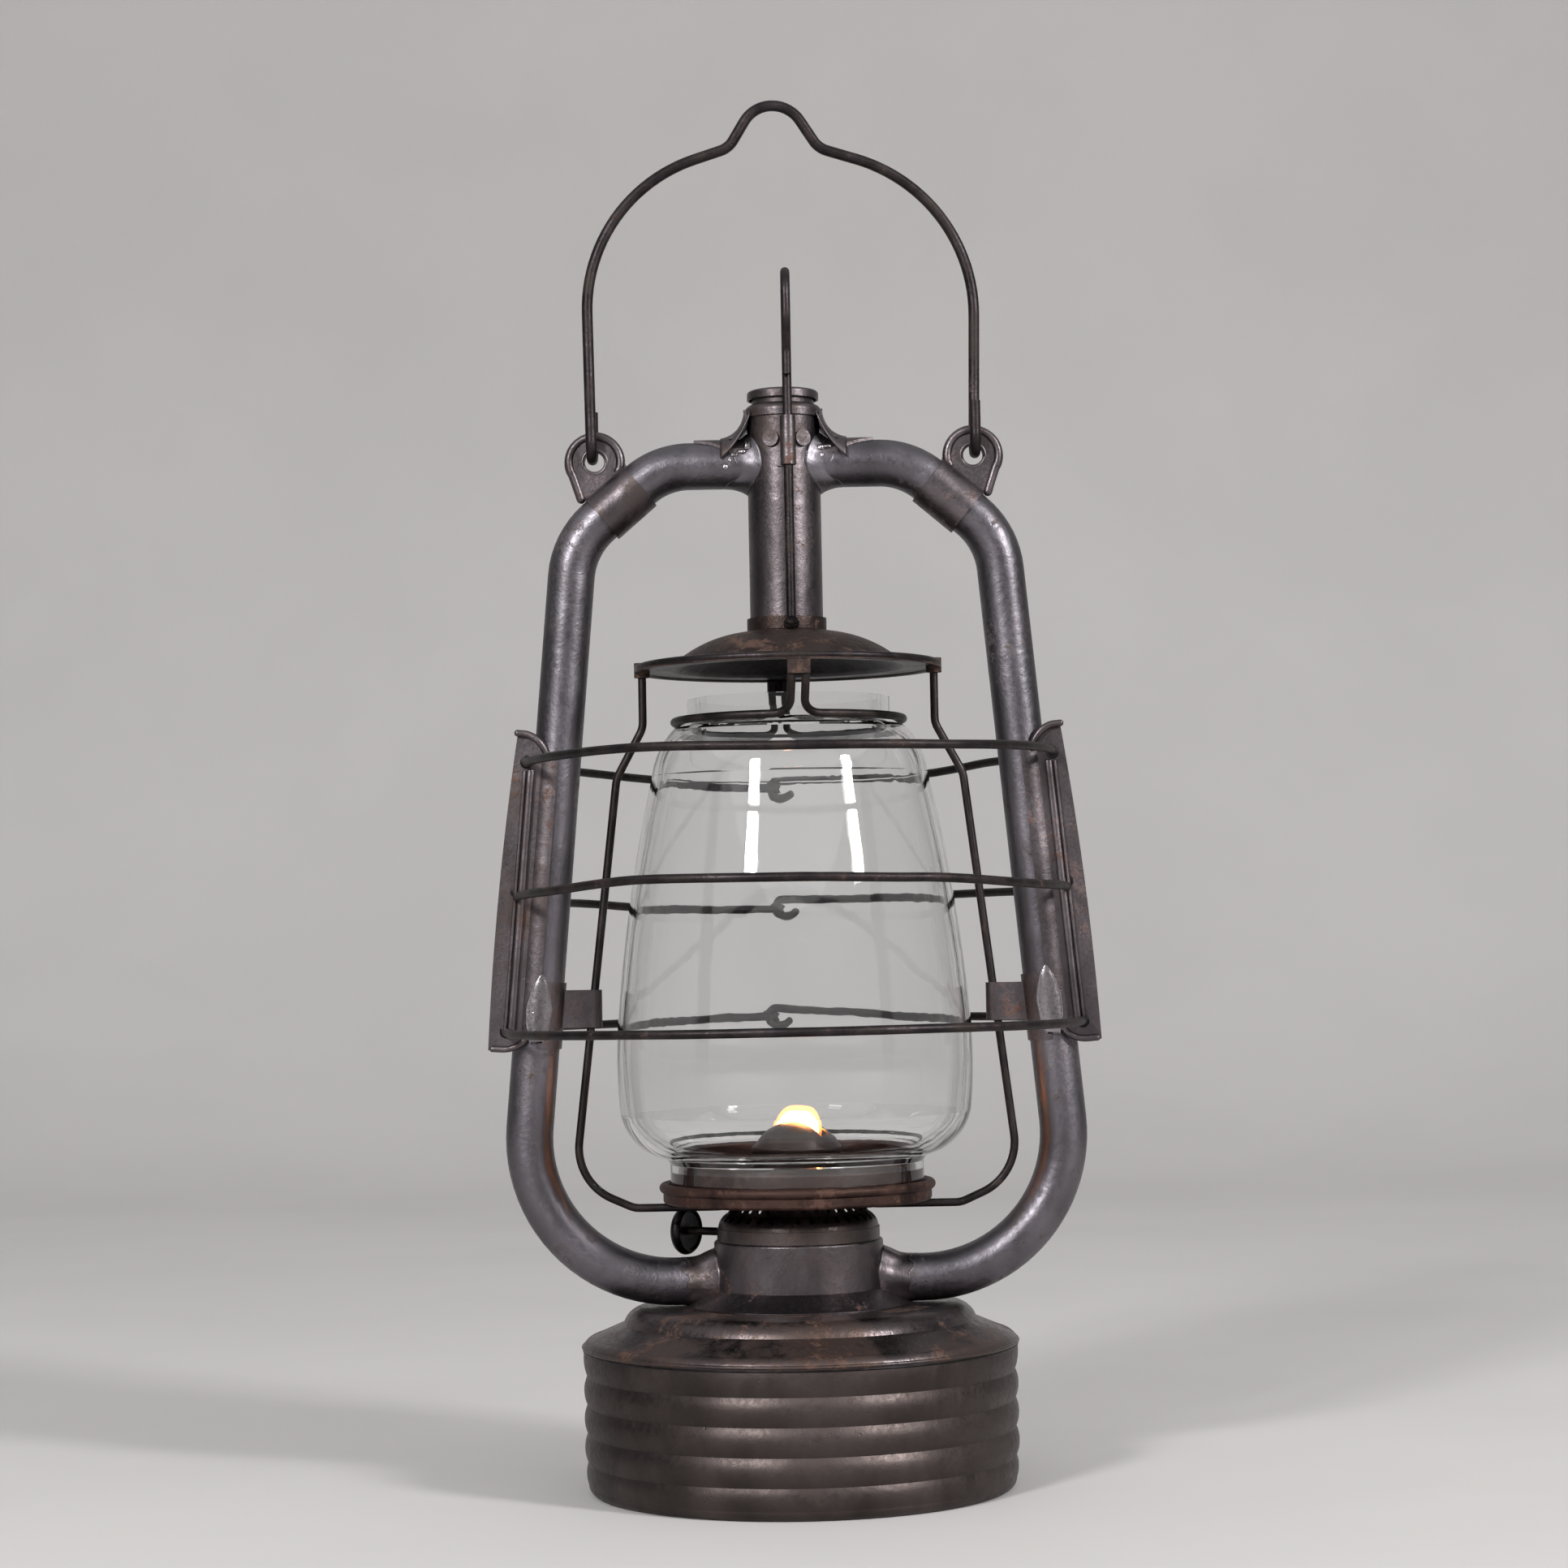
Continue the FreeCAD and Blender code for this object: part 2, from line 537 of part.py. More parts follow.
def saddle_wing(side):
    """Sheet that sweeps down from the band and lies over the top of an arm, narrowing to a tip."""
    word = "right" if side > 0 else "left"
    deep = size("saddle_depth")
    wide = size("saddle_half_width")
    inside = size("tube_radius + solder_gap")
    crown = size("arm_height") + inside
    foot = size("saddle_foot")
    root = size("chimney_radius + 0.2")
    high = size("saddle_bottom + saddle_lap")
    sweep = size("saddle_sweep")
    edges = [Part.Arc(vec(root, 0, high), vec(root + deep * sweep, 0, crown + sweep),
                      vec(foot, 0, crown)).toShape(),
             Part.LineSegment(vec(foot, 0, crown), vec(foot, 0, crown + deep)).toShape(),
             Part.Arc(vec(foot, 0, crown + deep), vec(root + sweep, 0, crown + sweep + 0.5),
                      vec(root + deep, 0, high)).toShape(),
             Part.LineSegment(vec(root + deep, 0, high), vec(root, 0, high)).toShape()]
    sweep_down = Part.Face(Part.Wire(edges))
    sweep_down.translate(vec(0, -wide, 0))
    sweep_down = sweep_down.extrude(vec(0, 2 * wide, 0))
    reach = size("saddle_reach")
    start = vec(root, 0, size("arm_height"))
    drape = Part.makeCylinder(inside + deep, reach - root, start, vec(1, 0, 0))
    drape = drape.cut(Part.makeCylinder(inside, reach - root, start, vec(1, 0, 0)))
    narrow = size("saddle_tip")
    floor = size("arm_height + 1")
    plan = [vec(0, -wide, floor), vec(foot, -wide, floor), vec(reach, -narrow, floor),
            vec(reach, narrow, floor), vec(foot, wide, floor), vec(0, wide, floor)]
    taper = Part.Face(Part.makePolygon(plan + plan[:1])).extrude(vec(0, 0, size("saddle_top - arm_height")))
    skirt = Part.makeCylinder(inside, reach, vec(0, 0, size("arm_height")), vec(1, 0, 0))
    wing = drape.fuse(sweep_down.cut(skirt)).common(taper).removeSplitter()
    if side < 0:
        wing = wing.mirror(vec(0, 0, 0), vec(1, 0, 0))
    return solids("wing_" + word, wing.Solids)


# ---------------------------------------------------------------- burner

def wick_line(distance, height, aside=0.0):
    """Point along the wick's width, which is also the line of the wick shaft."""
    angle = math.radians(size("wick_angle"))
    x = distance * math.cos(angle) + aside * math.sin(angle)
    y = distance * math.sin(angle) - aside * math.cos(angle)
    return x, y, height


def shaft_direction():
    return tuple(vec(*wick_line(1, 0)))


def shaft_base(distance):
    return wick_line(distance, size("shaft_height"), -size("shaft_offset"))


def make_burner():
    tube_holes = cylinder("collar_tube_holes", "tube_radius + solder_gap", "3 * collar_radius",
                          (-size("1.5 * collar_radius"), 0, size("tube_low")), (1, 0, 0))
    seat = "chamber_top + solder_gap"
    collar = lathe("collar_turned",
                   ("collar_bore", seat),
                   ("skirt_radius", seat),
                   ("skirt_radius", seat + " + 0.3"),
                   ("collar_radius", seat + " + skirt_rise"),
                   ("collar_radius", "collar_top - collar_round"),
                   ("collar_bore + 0.05", "collar_top", "collar_round", 1),
                   ("collar_bore", "collar_top"))
    hollow_skirt = lathe("skirt_hollow",
                         ("collar_radius + 0.1", "chamber_top - 1"),
                         ("skirt_radius - 1.2", "chamber_top - 1"),
                         ("skirt_radius - 1.2", seat + " + 0.2"),
                         ("collar_radius + 0.1", seat + " + skirt_rise - skirt_wall - 0.3"))
    keep("burner_collar", cut("collar_cut", collar, hollow_skirt, tube_holes))

    plug = lathe("plug_turned",
                 ("0 * plug_radius", "plug_bottom"),
                 ("plug_radius", "plug_bottom"),
                 ("plug_radius", "chamber_top + 0.02"),
                 ("plug_flange", "chamber_top + 0.02"),
                 ("plug_flange", "chamber_top + plug_depth"),
                 ("0 * plug_radius", "chamber_top + plug_depth"))
    keep("wick_tube_plug", cut("plug_cut", plug, wick_slot("plug_slot", "plug_bottom - 5")))

    base = lathe("base_turned",
                 ("0 * base_radius", "base_bottom"),
                 ("base_radius", "base_bottom"),
                 ("base_radius", "base_top"),
                 ("base_radius - base_wall", "base_top"),
                 ("base_radius - base_wall", "base_bottom + base_wall"),
                 ("0 * base_radius", "base_bottom + base_wall"))
    vents = solids("base_vents", [Part.makeCylinder(size("vent_radius"), size("8 * base_wall"),
                                                    vec(x, y, size("base_bottom - 4 * base_wall")))
                                  for angle, x, y in spread(size("vent_count"), size("vent_circle"))])
    shaft_hole = cylinder("base_shaft_hole", "shaft_radius + 0.08", "base_radius",
                          shaft_base(size("base_radius") / 2), shaft_direction())
    keep("burner_base", cut("base_cut", base, vents, wick_slot("base_slot", "base_bottom - 5"), shaft_hole))

    cone = lathe("cone_turned",
                 ("base_radius - 0.3 - cone_wall", "base_top + 0.02"),
                 ("base_radius - 0.3", "base_top + 0.02"),
                 ("cone_waist_radius", "cone_waist", "cone_shoulder", 1),
                 ("cone_neck", "cone_top", "cone_flare", -1),
                 ("cone_neck - cone_wall", "cone_top"),
                 ("cone_waist_radius - cone_wall", "cone_waist - 0.15", "cone_flare + cone_wall", 1),
                 ("base_radius - 0.3 - cone_wall", "base_top + 0.03", "cone_shoulder - cone_wall", -1))
    keep("burner_cone", cut("cone_cut", cone, solids("cone_holes", cone_holes())))


def cone_holes():
    """Two staggered rows of air holes through the cone."""
    count = size("cone_hole_count")
    rows = ((size("base_top + cone_low_row"), 0.0), (size("base_top + cone_high_row"), 180.0 / count))
    holes = []
    for height, start in rows:
        for angle, x, y in spread(count, 1.0, start):
            base = vec(x * 12, y * 12, height)
            holes.append(Part.makeCylinder(size("cone_hole_radius"), 12, base, vec(x, y, 0)))
    return holes


def wick_slot(name, bottom):
    return box(name, "wick_tube_width + 2 * solder_gap", "wick_tube_thick + 2 * solder_gap",
               "12 * wick_tube_wall + 8", (0, 0, size(bottom)), size("wick_angle"))


def make_wick():
    angle = size("wick_angle")
    outer = box("wick_tube_outer", "wick_tube_width", "wick_tube_thick",
                "wick_tube_top - wick_tube_bottom", (0, 0, size("wick_tube_bottom")), angle)
    inner = box("wick_tube_inner", "wick_tube_width - 2 * wick_tube_wall",
                "wick_tube_thick - 2 * wick_tube_wall", "wick_tube_top - wick_tube_bottom + 4",
                (0, 0, size("wick_tube_bottom - 2")), angle)
    windows = [box("spur_window_%d" % number, "2 * spur_depth + 0.6", "2 * wick_tube_thick",
                   "2 * spur_radius + 0.8",
                   wick_line(place, size("shaft_height - spur_radius - 0.4"), -size("wick_tube_thick")),
                   angle)
               for number, place in enumerate(spur_places())]
    keep("wick_tube", cut("wick_tube_cut", outer, inner, *windows))
    keep("wick", box("wick_strip", "wick_width", "wick_thick", "wick_top - wick_bottom",
                     (0, 0, size("wick_bottom")), angle))


def spur_places():
    half = size("spur_spacing") / 2
    return -half, half


def make_wick_shaft():
    along = vec(*shaft_direction())
    keep("wick_shaft", cylinder("shaft", "shaft_radius", "knob_distance + shaft_back",
                                shaft_base(-size("shaft_back")), tuple(along)))
    wheels = []
    for place in spur_places():
        start = vec(*shaft_base(place - size("spur_depth") / 2))
        wheel = star(size("spur_radius"), size("spur_root"), int(size("spur_teeth")), size("spur_depth"))
        wheel = wheel.cut(Part.makeCylinder(size("shaft_radius") + 0.01, size("spur_depth")))
        wheel.Placement = FreeCAD.Placement(start, FreeCAD.Rotation(vec(0, 0, 1), along))
        wheels.append(wheel)
    keep("spur_wheels", solids("spurs", wheels))

    knob = lathe("knob_turned",
                 ("shaft_radius + 0.01", "0.9 * spur_depth"),
                 ("2.2 * shaft_radius", "0.9 * spur_depth"),
                 ("knob_radius - 1.6", "0.7 * spur_depth"),
                 ("knob_radius - 0.9", "0 * knob_radius"),
                 ("knob_radius", "0.5 * knob_depth", "0.6 * knob_depth", 1),
                 ("knob_radius - 0.9", "knob_depth", "0.6 * knob_depth", 1),
                 ("knob_radius - 1.8", "knob_depth - 0.6"),
                 ("0 * knob_radius", "knob_depth - 0.4"),
                 ("0 * knob_radius", "1.6 * spur_depth"),
                 ("shaft_radius + 0.01", "1.6 * spur_depth"))
    start = vec(*shaft_base(size("knob_distance - 1.6 * spur_depth")))
    knob.Placement = FreeCAD.Placement(start, FreeCAD.Rotation(vec(0, 0, 1), along))
    keep("wick_knob", knob)


def star(outer, root, teeth, depth):
    """Toothed wheel with pointed teeth."""
    corners = []
    for number in range(2 * teeth):
        angle = math.pi * number / teeth
        radius = outer if number % 2 == 0 else root
        corners.append(vec(radius * math.cos(angle), radius * math.sin(angle), 0))
    return Part.Face(Part.makePolygon(corners + corners[:1])).extrude(vec(0, 0, depth))


# ---------------------------------------------------------------- what the lift rod raises

def make_plate():
    plate = lathe("plate_turned",
                  ("plate_hole", "plate_bottom"),
                  ("plate_radius - 0.7", "plate_bottom"),
                  ("plate_radius", "plate_bottom + 0.7", "0.8 * bead_radius", 1),
                  ("plate_radius", "bead_height - bead_radius"),
                  ("plate_radius", "bead_height + bead_radius", "1.03 * bead_radius", 1),
                  ("plate_seat", "bead_height + 0.5", "bead_radius + 0.6", 1),
                  ("plate_seat", "plate_floor"),
                  ("plate_hole", "plate_floor"))
    holes = [Part.makeCylinder(size("plate_vent_radius"), 4, vec(x, y, size("plate_bottom") - 2))
             for angle, x, y in spread(size("plate_vent_count"), size("plate_vent_circle"),
                                       size("plate_vent_turn"))]
    keep("globe_plate", cut("plate_cut", plate, solids("plate_holes", holes)))

    crown = "(dome_spring_radius * dome_spring_radius + (dome_crown - dome_spring)" \
            " * (dome_crown - dome_spring)) / (2 * (dome_crown - dome_spring))"
    dome = lathe("dome_turned",
                 ("dome_radius - dome_wall", "plate_floor + 0.02"),
                 ("dome_flange", "plate_floor + 0.02"),
                 ("dome_flange", "plate_floor + dome_wall"),
                 ("dome_radius", "plate_floor + dome_wall"),
                 ("dome_radius", "dome_neck"),
                 ("dome_spring_radius", "dome_spring"),
                 ("0 * dome_wall", "dome_crown", crown, 1),
                 ("0 * dome_wall", "dome_crown - dome_wall"),
                 ("dome_spring_radius - dome_wall", "dome_spring - 0.2", crown + " - 1.1 * dome_wall", -1),
                 ("dome_radius - dome_wall", "dome_neck - 0.2"))
    slot = box("dome_slot", "dome_slot_length", "dome_slot", "6 * dome_slot",
               (0, 0, size("dome_slot_bottom")), size("wick_angle"))
    keep("burner_dome", cut("dome_cut", dome, slot))


def make_globe():
    wall = "glass_wall"
    keep("globe", lathe(
        "globe_turned",
        ("globe_foot_radius - " + wall, "plate_floor + 0.02"),
        ("globe_foot_radius", "plate_floor + 0.02"),
        ("globe_foot_radius", "globe_foot_top"),
        ("globe_turn_radius", "globe_turn_height"),
        ("globe_belly_radius", "globe_belly", "globe_belly_round", 1),
        ("globe_side_radius", "globe_side", "globe_side_round", 1),
        ("globe_shoulder_radius", "globe_shoulder", "globe_wall_round", 1),
        ("globe_top_radius", "globe_top_turn", "globe_shoulder_round", 1),
        ("globe_neck_radius", "globe_neck_bottom"),
        ("globe_neck_radius", "globe_top"),
        ("globe_neck_radius - " + wall, "globe_top"),
        ("globe_neck_radius - " + wall, "globe_neck_bottom - 1.2"),
        ("globe_top_radius - 1.2", "globe_top_turn - 1.6"),
        ("globe_shoulder_radius - " + wall, "globe_shoulder - 0.5", "globe_shoulder_round - " + wall, -1),
        ("globe_side_radius - " + wall, "globe_side", "globe_wall_round - " + wall, -1),
        ("globe_belly_radius - " + wall, "globe_belly", "globe_side_round - " + wall, -1),
        ("globe_turn_radius - 0.4", "globe_turn_height + 2.0", "globe_belly_round - " + wall, -1),
        ("globe_foot_radius - " + wall, "globe_foot_top + 0.6")))


def make_canopy():
    """Domed cover with a socket for each end of the cradle wire and a tab in front of each clip root."""
    wall = "canopy_wall"
    cover = lathe(
        "canopy_turned",
        ("canopy_bore", "canopy_root - 1.2"),
        ("canopy_dome_radius - 0.3", "canopy_dome_height - 0.75", "canopy_dome_round", -1),
        ("canopy_radius - " + wall, "canopy_flat - " + wall),
        ("canopy_radius - " + wall, "canopy_rim_bottom"),
        ("canopy_radius", "canopy_rim_bottom"),
        ("canopy_radius", "canopy_flat - canopy_rim_round"),
        ("canopy_radius - canopy_rim_round", "canopy_flat", "canopy_rim_round", 1),
        ("canopy_dome_radius", "canopy_dome_height"),
        ("canopy_collar + 1.5", "canopy_root", "canopy_dome_round", 1),
        ("canopy_collar", "canopy_root + 0.4"),
        ("canopy_collar", "canopy_top"),
        ("canopy_bore", "canopy_top"))
    reach = size("socket_reach")
    low = size("socket_bottom")
    sockets = [cylinder("canopy_socket_%d" % side, "socket_radius", "socket_top - socket_bottom",
                        (side * reach, 0, low)) for side in (1, -1)]
    bores = [cylinder("canopy_socket_bore_%d" % side, "cradle_wire + solder_gap",
                      "cradle_top - socket_bottom + 1.1", (side * reach, 0, low - 1))
             for side in (1, -1)]
    tabs = []
    for side in (1, -1):
        tab = Part.makeBox(size("2 * tab_half_width"), size("tab_depth"),
                           size("canopy_flat - canopy_wall / 2 - tab_bottom"),
                           vec(-size("tab_half_width"), size("canopy_radius - tab_depth - 0.25"),
                               size("tab_bottom")))
        tab.rotate(vec(0, 0, 0), vec(0, 0, 1), size("clip_turn") + (180 if side < 0 else 0))
        tabs.append(tab)
    blank = fuse("canopy_blank", cover, *sockets, solids("canopy_tabs", tabs))
    keep("canopy", cut("canopy_bored", blank, *bores))


def make_cradle():
    """One wire from the canopy's left edge, under the globe plate and up to its right edge."""
    first = size("cradle_ring_angle")
    turn_in = size("cradle_ring") / math.cos(math.radians(first))
    right = [vec(size("socket_reach"), 0, size("cradle_top")),
             vec(size("socket_reach"), 0, size("cradle_neck")),
             vec(size("cradle_kink_reach"), 0, size("cradle_kink")),
             vec(size("cradle_low_reach"), 0, size("cradle_low")),
             vec(size("cradle_toe_reach"), 0, size("cradle_foot")),
             vec(turn_in, 0, size("cradle_foot"))]
    bends = [6.0, 8.0, size("cradle_bend"), 6.0, size("cradle_ring_bend")]
    back = list(circle_corners(size("cradle_ring"), size("cradle_foot"), first, 180 - first, 6))
    points = right + back + mirrored(right)[::-1]
    bends = bends + [size("cradle_ring")] * len(back) + bends[::-1]
    keep("cradle_wire", bar("cradle_bar", points, bends, size("cradle_wire")))


def make_clips():
    """Two wires that hang from the canopy's front and back edges and hold the globe's shoulder."""
    gap = size("clip_gap_angle")
    radius = size("clip_ring")
    height = size("clip_height")
    aside = size("clip_half_gap")
    tilt = math.radians(90 - gap)
    reach = (radius - aside * math.cos(tilt)) / math.sin(tilt)
    back = [vec(aside, size("clip_root"), size("clip_top")),
            vec(aside, size("clip_root"), size("clip_top - clip_drop")),
            vec(aside, reach, height)]
    front = [vec(p.x, -p.y, p.z) for p in back[::-1]]
    points = back + list(circle_corners(radius, height, 90 - gap, gap - 90, 5)) + front
    bend = size("clip_bend")
    bends = [bend - 2, bend] + [radius] * 5 + [bend, bend - 2]
    turn = FreeCAD.Rotation(vec(0, 0, 1), size("clip_turn"))
    for word, route in (("right", points), ("left", mirrored(points))):
        turned = [turn.multVec(point) for point in route]
        keep("globe_clip_" + word, bar("clip_bar_" + word, turned, bends, size("clip_wire")))


def make_lift_rod():
    """Wire with a finger loop at the top, a tail that lies on the shank and a flattened foot."""
    y = -size("rod_distance")
    half = size("loop_half_width")
    top = size("loop_top")
    tail = -size("2 * rod_wire + solder_gap")
    route = [(tail, "tail_bottom"), (tail, "tail_top"), (-half, "loop_waist"), (-half, "loop_top"),
             (half, "loop_top"), (half, "loop_waist"), (0, "loop_foot"), (0, "rod_bottom")]
    points = [vec(size("rod_aside"), y + aside, size(height)) for aside, height in route]
    bends = [3.0, 6.0, half * 0.98, half * 0.98, 6.0, 6.0]
    wire = bar("rod_wire", points, bends, size("rod_wire"))
    tilt = math.radians(size("foot_tilt"))
    out = vec(0, -math.cos(tilt), math.sin(tilt))
    centre = vec(size("rod_aside"), -size("foot_distance"), size("foot_height"))
    foot = cylinder("rod_foot", "foot_radius", "foot_depth", tuple(centre), tuple(out))
    hole = cylinder("rod_foot_hole", "rivet_shank + 0.02", "4 * foot_depth",
                    tuple(centre - out * size("2 * foot_depth")), tuple(out))
    seat = cylinder("rod_rivet_seat", "rivet_radius + solder_gap", "3 * rivet_head",
                    tuple(centre + out * size("foot_depth")), tuple(out))
    keep("lift_rod", cut("rod_cut", fuse("rod_blank", wire, foot), hole, seat))

    head = cylinder("rivet_head", "rivet_radius", "rivet_head",
                    tuple(centre + out * size("foot_depth + solder_gap")), tuple(out))
    shank = cylinder("rivet_stem", "rivet_shank", "foot_depth + rivet_grip",
                     tuple(centre - out * size("rivet_grip")), tuple(out))
    keep("lift_rivet", fuse("rivet", head, shank))
    rivet_hole = cylinder("canopy_rivet_hole", "rivet_shank + 0.02", "4 * rivet_grip",
                          tuple(centre - out * size("3 * rivet_grip")), tuple(out))
    keep("canopy", cut("canopy_rivet", parts["canopy"], rivet_hole))


# ---------------------------------------------------------------- fixed fittings on the tubes

def make_rod_guide():
    y = -size("rod_distance")
    deep = size("shield_depth")
    plate = ring("shield_shell", "chimney_radius + solder_gap", "chimney_radius + shield_depth",
                 "guide_bottom", "guide_top")
    wide = size("shield_half_width")
    tip = size("shield_tip")
    low = size("guide_bottom")
    high = size("guide_top")
    mid = size("shield_shoulder")
    upper = high - size("shield_corner")
    front = -size("1.5 * chimney_radius")
    plan = [vec(-tip, front, low), vec(tip, front, low), vec(wide, front, mid), vec(wide, front, upper),
            vec(tip + 1, front, high), vec(-tip - 1, front, high), vec(-wide, front, upper),
            vec(-wide, front, mid)]
    outline = Part.Face(Part.makePolygon(plan + plan[:1])).extrude(vec(0, -front, 0))
    outline = solids("shield_outline", [outline])
    shield = common("shield", plate, outline)
    aside = size("rod_aside")
    sleeve = cylinder("guide_sleeve", "guide_radius", "guide_top - guide_bottom", (aside, y, low))
    bore = cylinder("guide_bore", "guide_bore", "2 * guide_top - 2 * guide_bottom", (aside, y, low - 6))
    thick = size("bridge_width")
    root = vec(aside - thick / 2, y + size("bridge_start"), low + 0.5)
    bridge = solids("guide_bridge", [Part.makeBox(thick, thick, high - low - 1, root)])
    blank = fuse("guide_blank", shield, sleeve, bridge)
    core = cylinder("guide_core", "chimney_radius + solder_gap", "3 * guide_top - 3 * guide_bottom",
                    (0, 0, low - 10))
    keep("rod_guide", cut("guide_cut", blank, bore, core))

    heads = []
    reach = size("chimney_radius") + deep + 0.03
    for side in (-1, 1):
        angle = math.radians(-90 + side * size("dimple_angle") + size("dimple_turn"))
        out = vec(math.cos(angle), math.sin(angle), 0)
        base = out * (reach + 0.22) + vec(0, 0, size("dimple_height"))
        heads.append(Part.makeCylinder(size("dimple_radius"), size("dimple_depth"), base, out))
    keep("guide_rivets", solids("dimples", heads))


def tube_sector(inside, outside, bottom, top, first, span):
    """Piece of a shell round the right side tube; angles are from +X towards the front."""
    lean = tube_lean()
    foot = vec(tube_at(bottom), 0, bottom)
    length = (top - bottom) / lean.z
    outer = Part.makeCylinder(outside, length, vec(0, 0, 0), vec(0, 0, 1), span)
    shell = outer.cut(Part.makeCylinder(inside, length))
    shell.rotate(vec(0, 0, 0), vec(0, 0, 1), -first - span)
    shell.Placement = FreeCAD.Placement(foot, FreeCAD.Rotation(vec(0, 0, 1), lean)).multiply(shell.Placement)
    return shell


def make_fins():
    """Plates that stand off the front of the tubes and carry the guard wires."""
    face = size("tube_radius + solder_gap")
    strip = tube_sector(face, face + size("fin_strip_depth"),
                        size("fin_inner_bottom"), size("fin_inner_top"), 52, 43)
    low = size("fin_inner_bottom")
    high = size("fin_inner_top")
    fold = size("fin_fold")
    corners = [vec(tube_at(low) + fold, 0, low),
               vec(size("fin_bottom_reach"), 0, size("fin_bottom")),
               vec(size("fin_top_reach"), 0, size("fin_top")),
               vec(tube_at(high) + fold, 0, high)]
    edges = [bowed(corners[0], corners[1], 0.6),
             bowed(corners[1], corners[2], 1.0),
             bowed(corners[2], corners[3], 0.6),
             Part.LineSegment(corners[3], corners[0]).toShape()]
    deep = size("fin_depth")
    plate = Part.Face(Part.Wire(edges))
    plate.translate(vec(0, -size("fin_plane") - deep / 2, 0))
    blade = plate.extrude(vec(0, deep, 0))
    blade = blade.cut(tube_core("tube_radius + solder_gap", 1)).fuse(strip)
    for height in guard_heights().values():
        across = math.sqrt(guard_radius(height) ** 2 - size("fin_plane") ** 2)
        hole = Part.makeCylinder(size("guard_hole"), 8, vec(across, -9, height), vec(0, 1, 0))
        blade = blade.cut(hole)
    blade = blade.removeSplitter()
    keep("guard_fin_right", solids("fin_right", blade.Solids))
    keep("guard_fin_left", solids("fin_left", blade.mirror(vec(0, 0, 0), vec(1, 0, 0)).Solids))


def bowed(start, end, rise):
    """Edge that bows outwards from the straight line between two corners."""
    along = (end - start).normalize()
    middle = (start + end) * 0.5 + vec(along.z, 0, -along.x) * rise
    return Part.Arc(start, middle, end).toShape()


def guard_heights():
    return {"top": size("guard_top"), "middle": size("guard_middle"), "bottom": size("guard_bottom")}


def guard_radius(height):
    return tube_at(height) + size("guard_offset")


def make_guards():
    for word, height in guard_heights().items():
        wire = doc.addObject("Part::Torus", "guard_" + word)
        wire.Radius1 = guard_radius(height)
        bind(wire, Radius2="guard_wire")
        wire.Placement = FreeCAD.Placement(vec(0, 0, height), FreeCAD.Rotation())
        keep("guard_wire_" + word, wire)


def make_brackets():
    """Straps on the side tubes, folded round the cradle wire so that it can slide."""
    inside = size("bracket_inside")
    wall = size("bracket_wall")
    low = size("bracket_bottom")
    high = size("bracket_top")
    fold = size("bracket_centre")
    reach = tube_at(low) - fold
    rounded = {}
    for radius in (inside, inside + wall):
        bend = Part.makeCylinder(radius, high - low, vec(fold, 0, low))
        rounded[radius] = bend.fuse(Part.makeBox(reach, 2 * radius, high - low, vec(fold, -radius, low)))
    strap = rounded[inside + wall].cut(rounded[inside])
    face = size("tube_radius + solder_gap")
    pad = tube_sector(face, face + size("pad_depth"), size("pad_bottom"), size("pad_top"), 97, 80)
    strap = strap.cut(tube_core("tube_radius + solder_gap", 1)).fuse(pad)
    strap = max(strap.removeSplitter().Solids, key=lambda solid: solid.Volume)
    keep("guide_bracket_right", solids("bracket_right", [strap]))
    keep("guide_bracket_left", solids("bracket_left", [strap.mirror(vec(0, 0, 0), vec(1, 0, 0))]))


# ---------------------------------------------------------------- bail

def bail_point(reach, height):
    """Point of the bail; its left leg stands in front of the ear and its right leg behind."""
    return vec(reach, size("bail_hook") * reach / size("bail_reach"), height)


def bail_leg(side, shoulder_reach, shoulder):
    """Hooked leg from its short tail, through the ear's eye and up to the shoulder."""
    reach = side * size("bail_reach")
    hook = -side * size("bail_hook")
    pivot = size("bail_pivot")
    return [vec(reach, hook, pivot + size("bail_tail")),
            vec(reach, hook, pivot - size("bail_hook")),
            vec(reach, -hook, pivot - size("bail_hook")),
            bail_point(side * size(shoulder_reach), size(shoulder))]


def make_bail():
    left = bail_leg(-1, "bail_left_reach", "bail_left_shoulder")
    right = bail_leg(1, "bail_right_reach", "bail_right_shoulder")
    crown = [bail_point(-size("bail_left_dip"), size("bail_dip")),
             bail_point(-size("bail_peak_reach"), size("bail_peak")),
             bail_point(size("bail_right_dip"), size("bail_dip"))]
    turn = size("bail_hook") * 0.98
    hooked = [turn, turn, size("bail_shoulder_bend")]
    peak = [size("bail_dip_bend"), size("bail_peak_bend"), size("bail_dip_bend")]
    keep("bail", bar("bail_bar", left + crown + right[::-1], hooked + peak + hooked[::-1],
                     size("bail_wire")))


# ---------------------------------------------------------------- build and write

def check_document():
    """Stop on any failed feature, and on any sub-part without a sound solid shape."""
    for item in doc.Objects:
        bad = [word for word in item.State if word in ("Invalid", "Error")]
        if bad:
            raise RuntimeError("%s is %s" % (item.Name, ", ".join(bad)))
    for label, item in parts.items():
        shape = item.Shape
        if shape.isNull() or not shape.isValid() or not shape.Solids:
            raise RuntimeError("%s has no sound shape" % label)


def write_parts():
    os.makedirs("parts", exist_ok=True)
    for label, item in parts.items():
        item.Shape.exportStep("parts/%s.step" % label)


make_fount()
make_filler()
make_tubes()
make_ear(1, "right")
make_ear(-1, "left")
make_chimney()
make_burner()
make_wick()
make_wick_shaft()
make_plate()
make_globe()
make_canopy()
make_cradle()
make_clips()
make_lift_rod()
make_rod_guide()
make_fins()
make_guards()
make_brackets()
make_bail()
doc.recompute()
check_document()
write_parts()
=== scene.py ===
import json
import math

import bmesh
import bpy
from mathutils import Matrix, Vector, noise


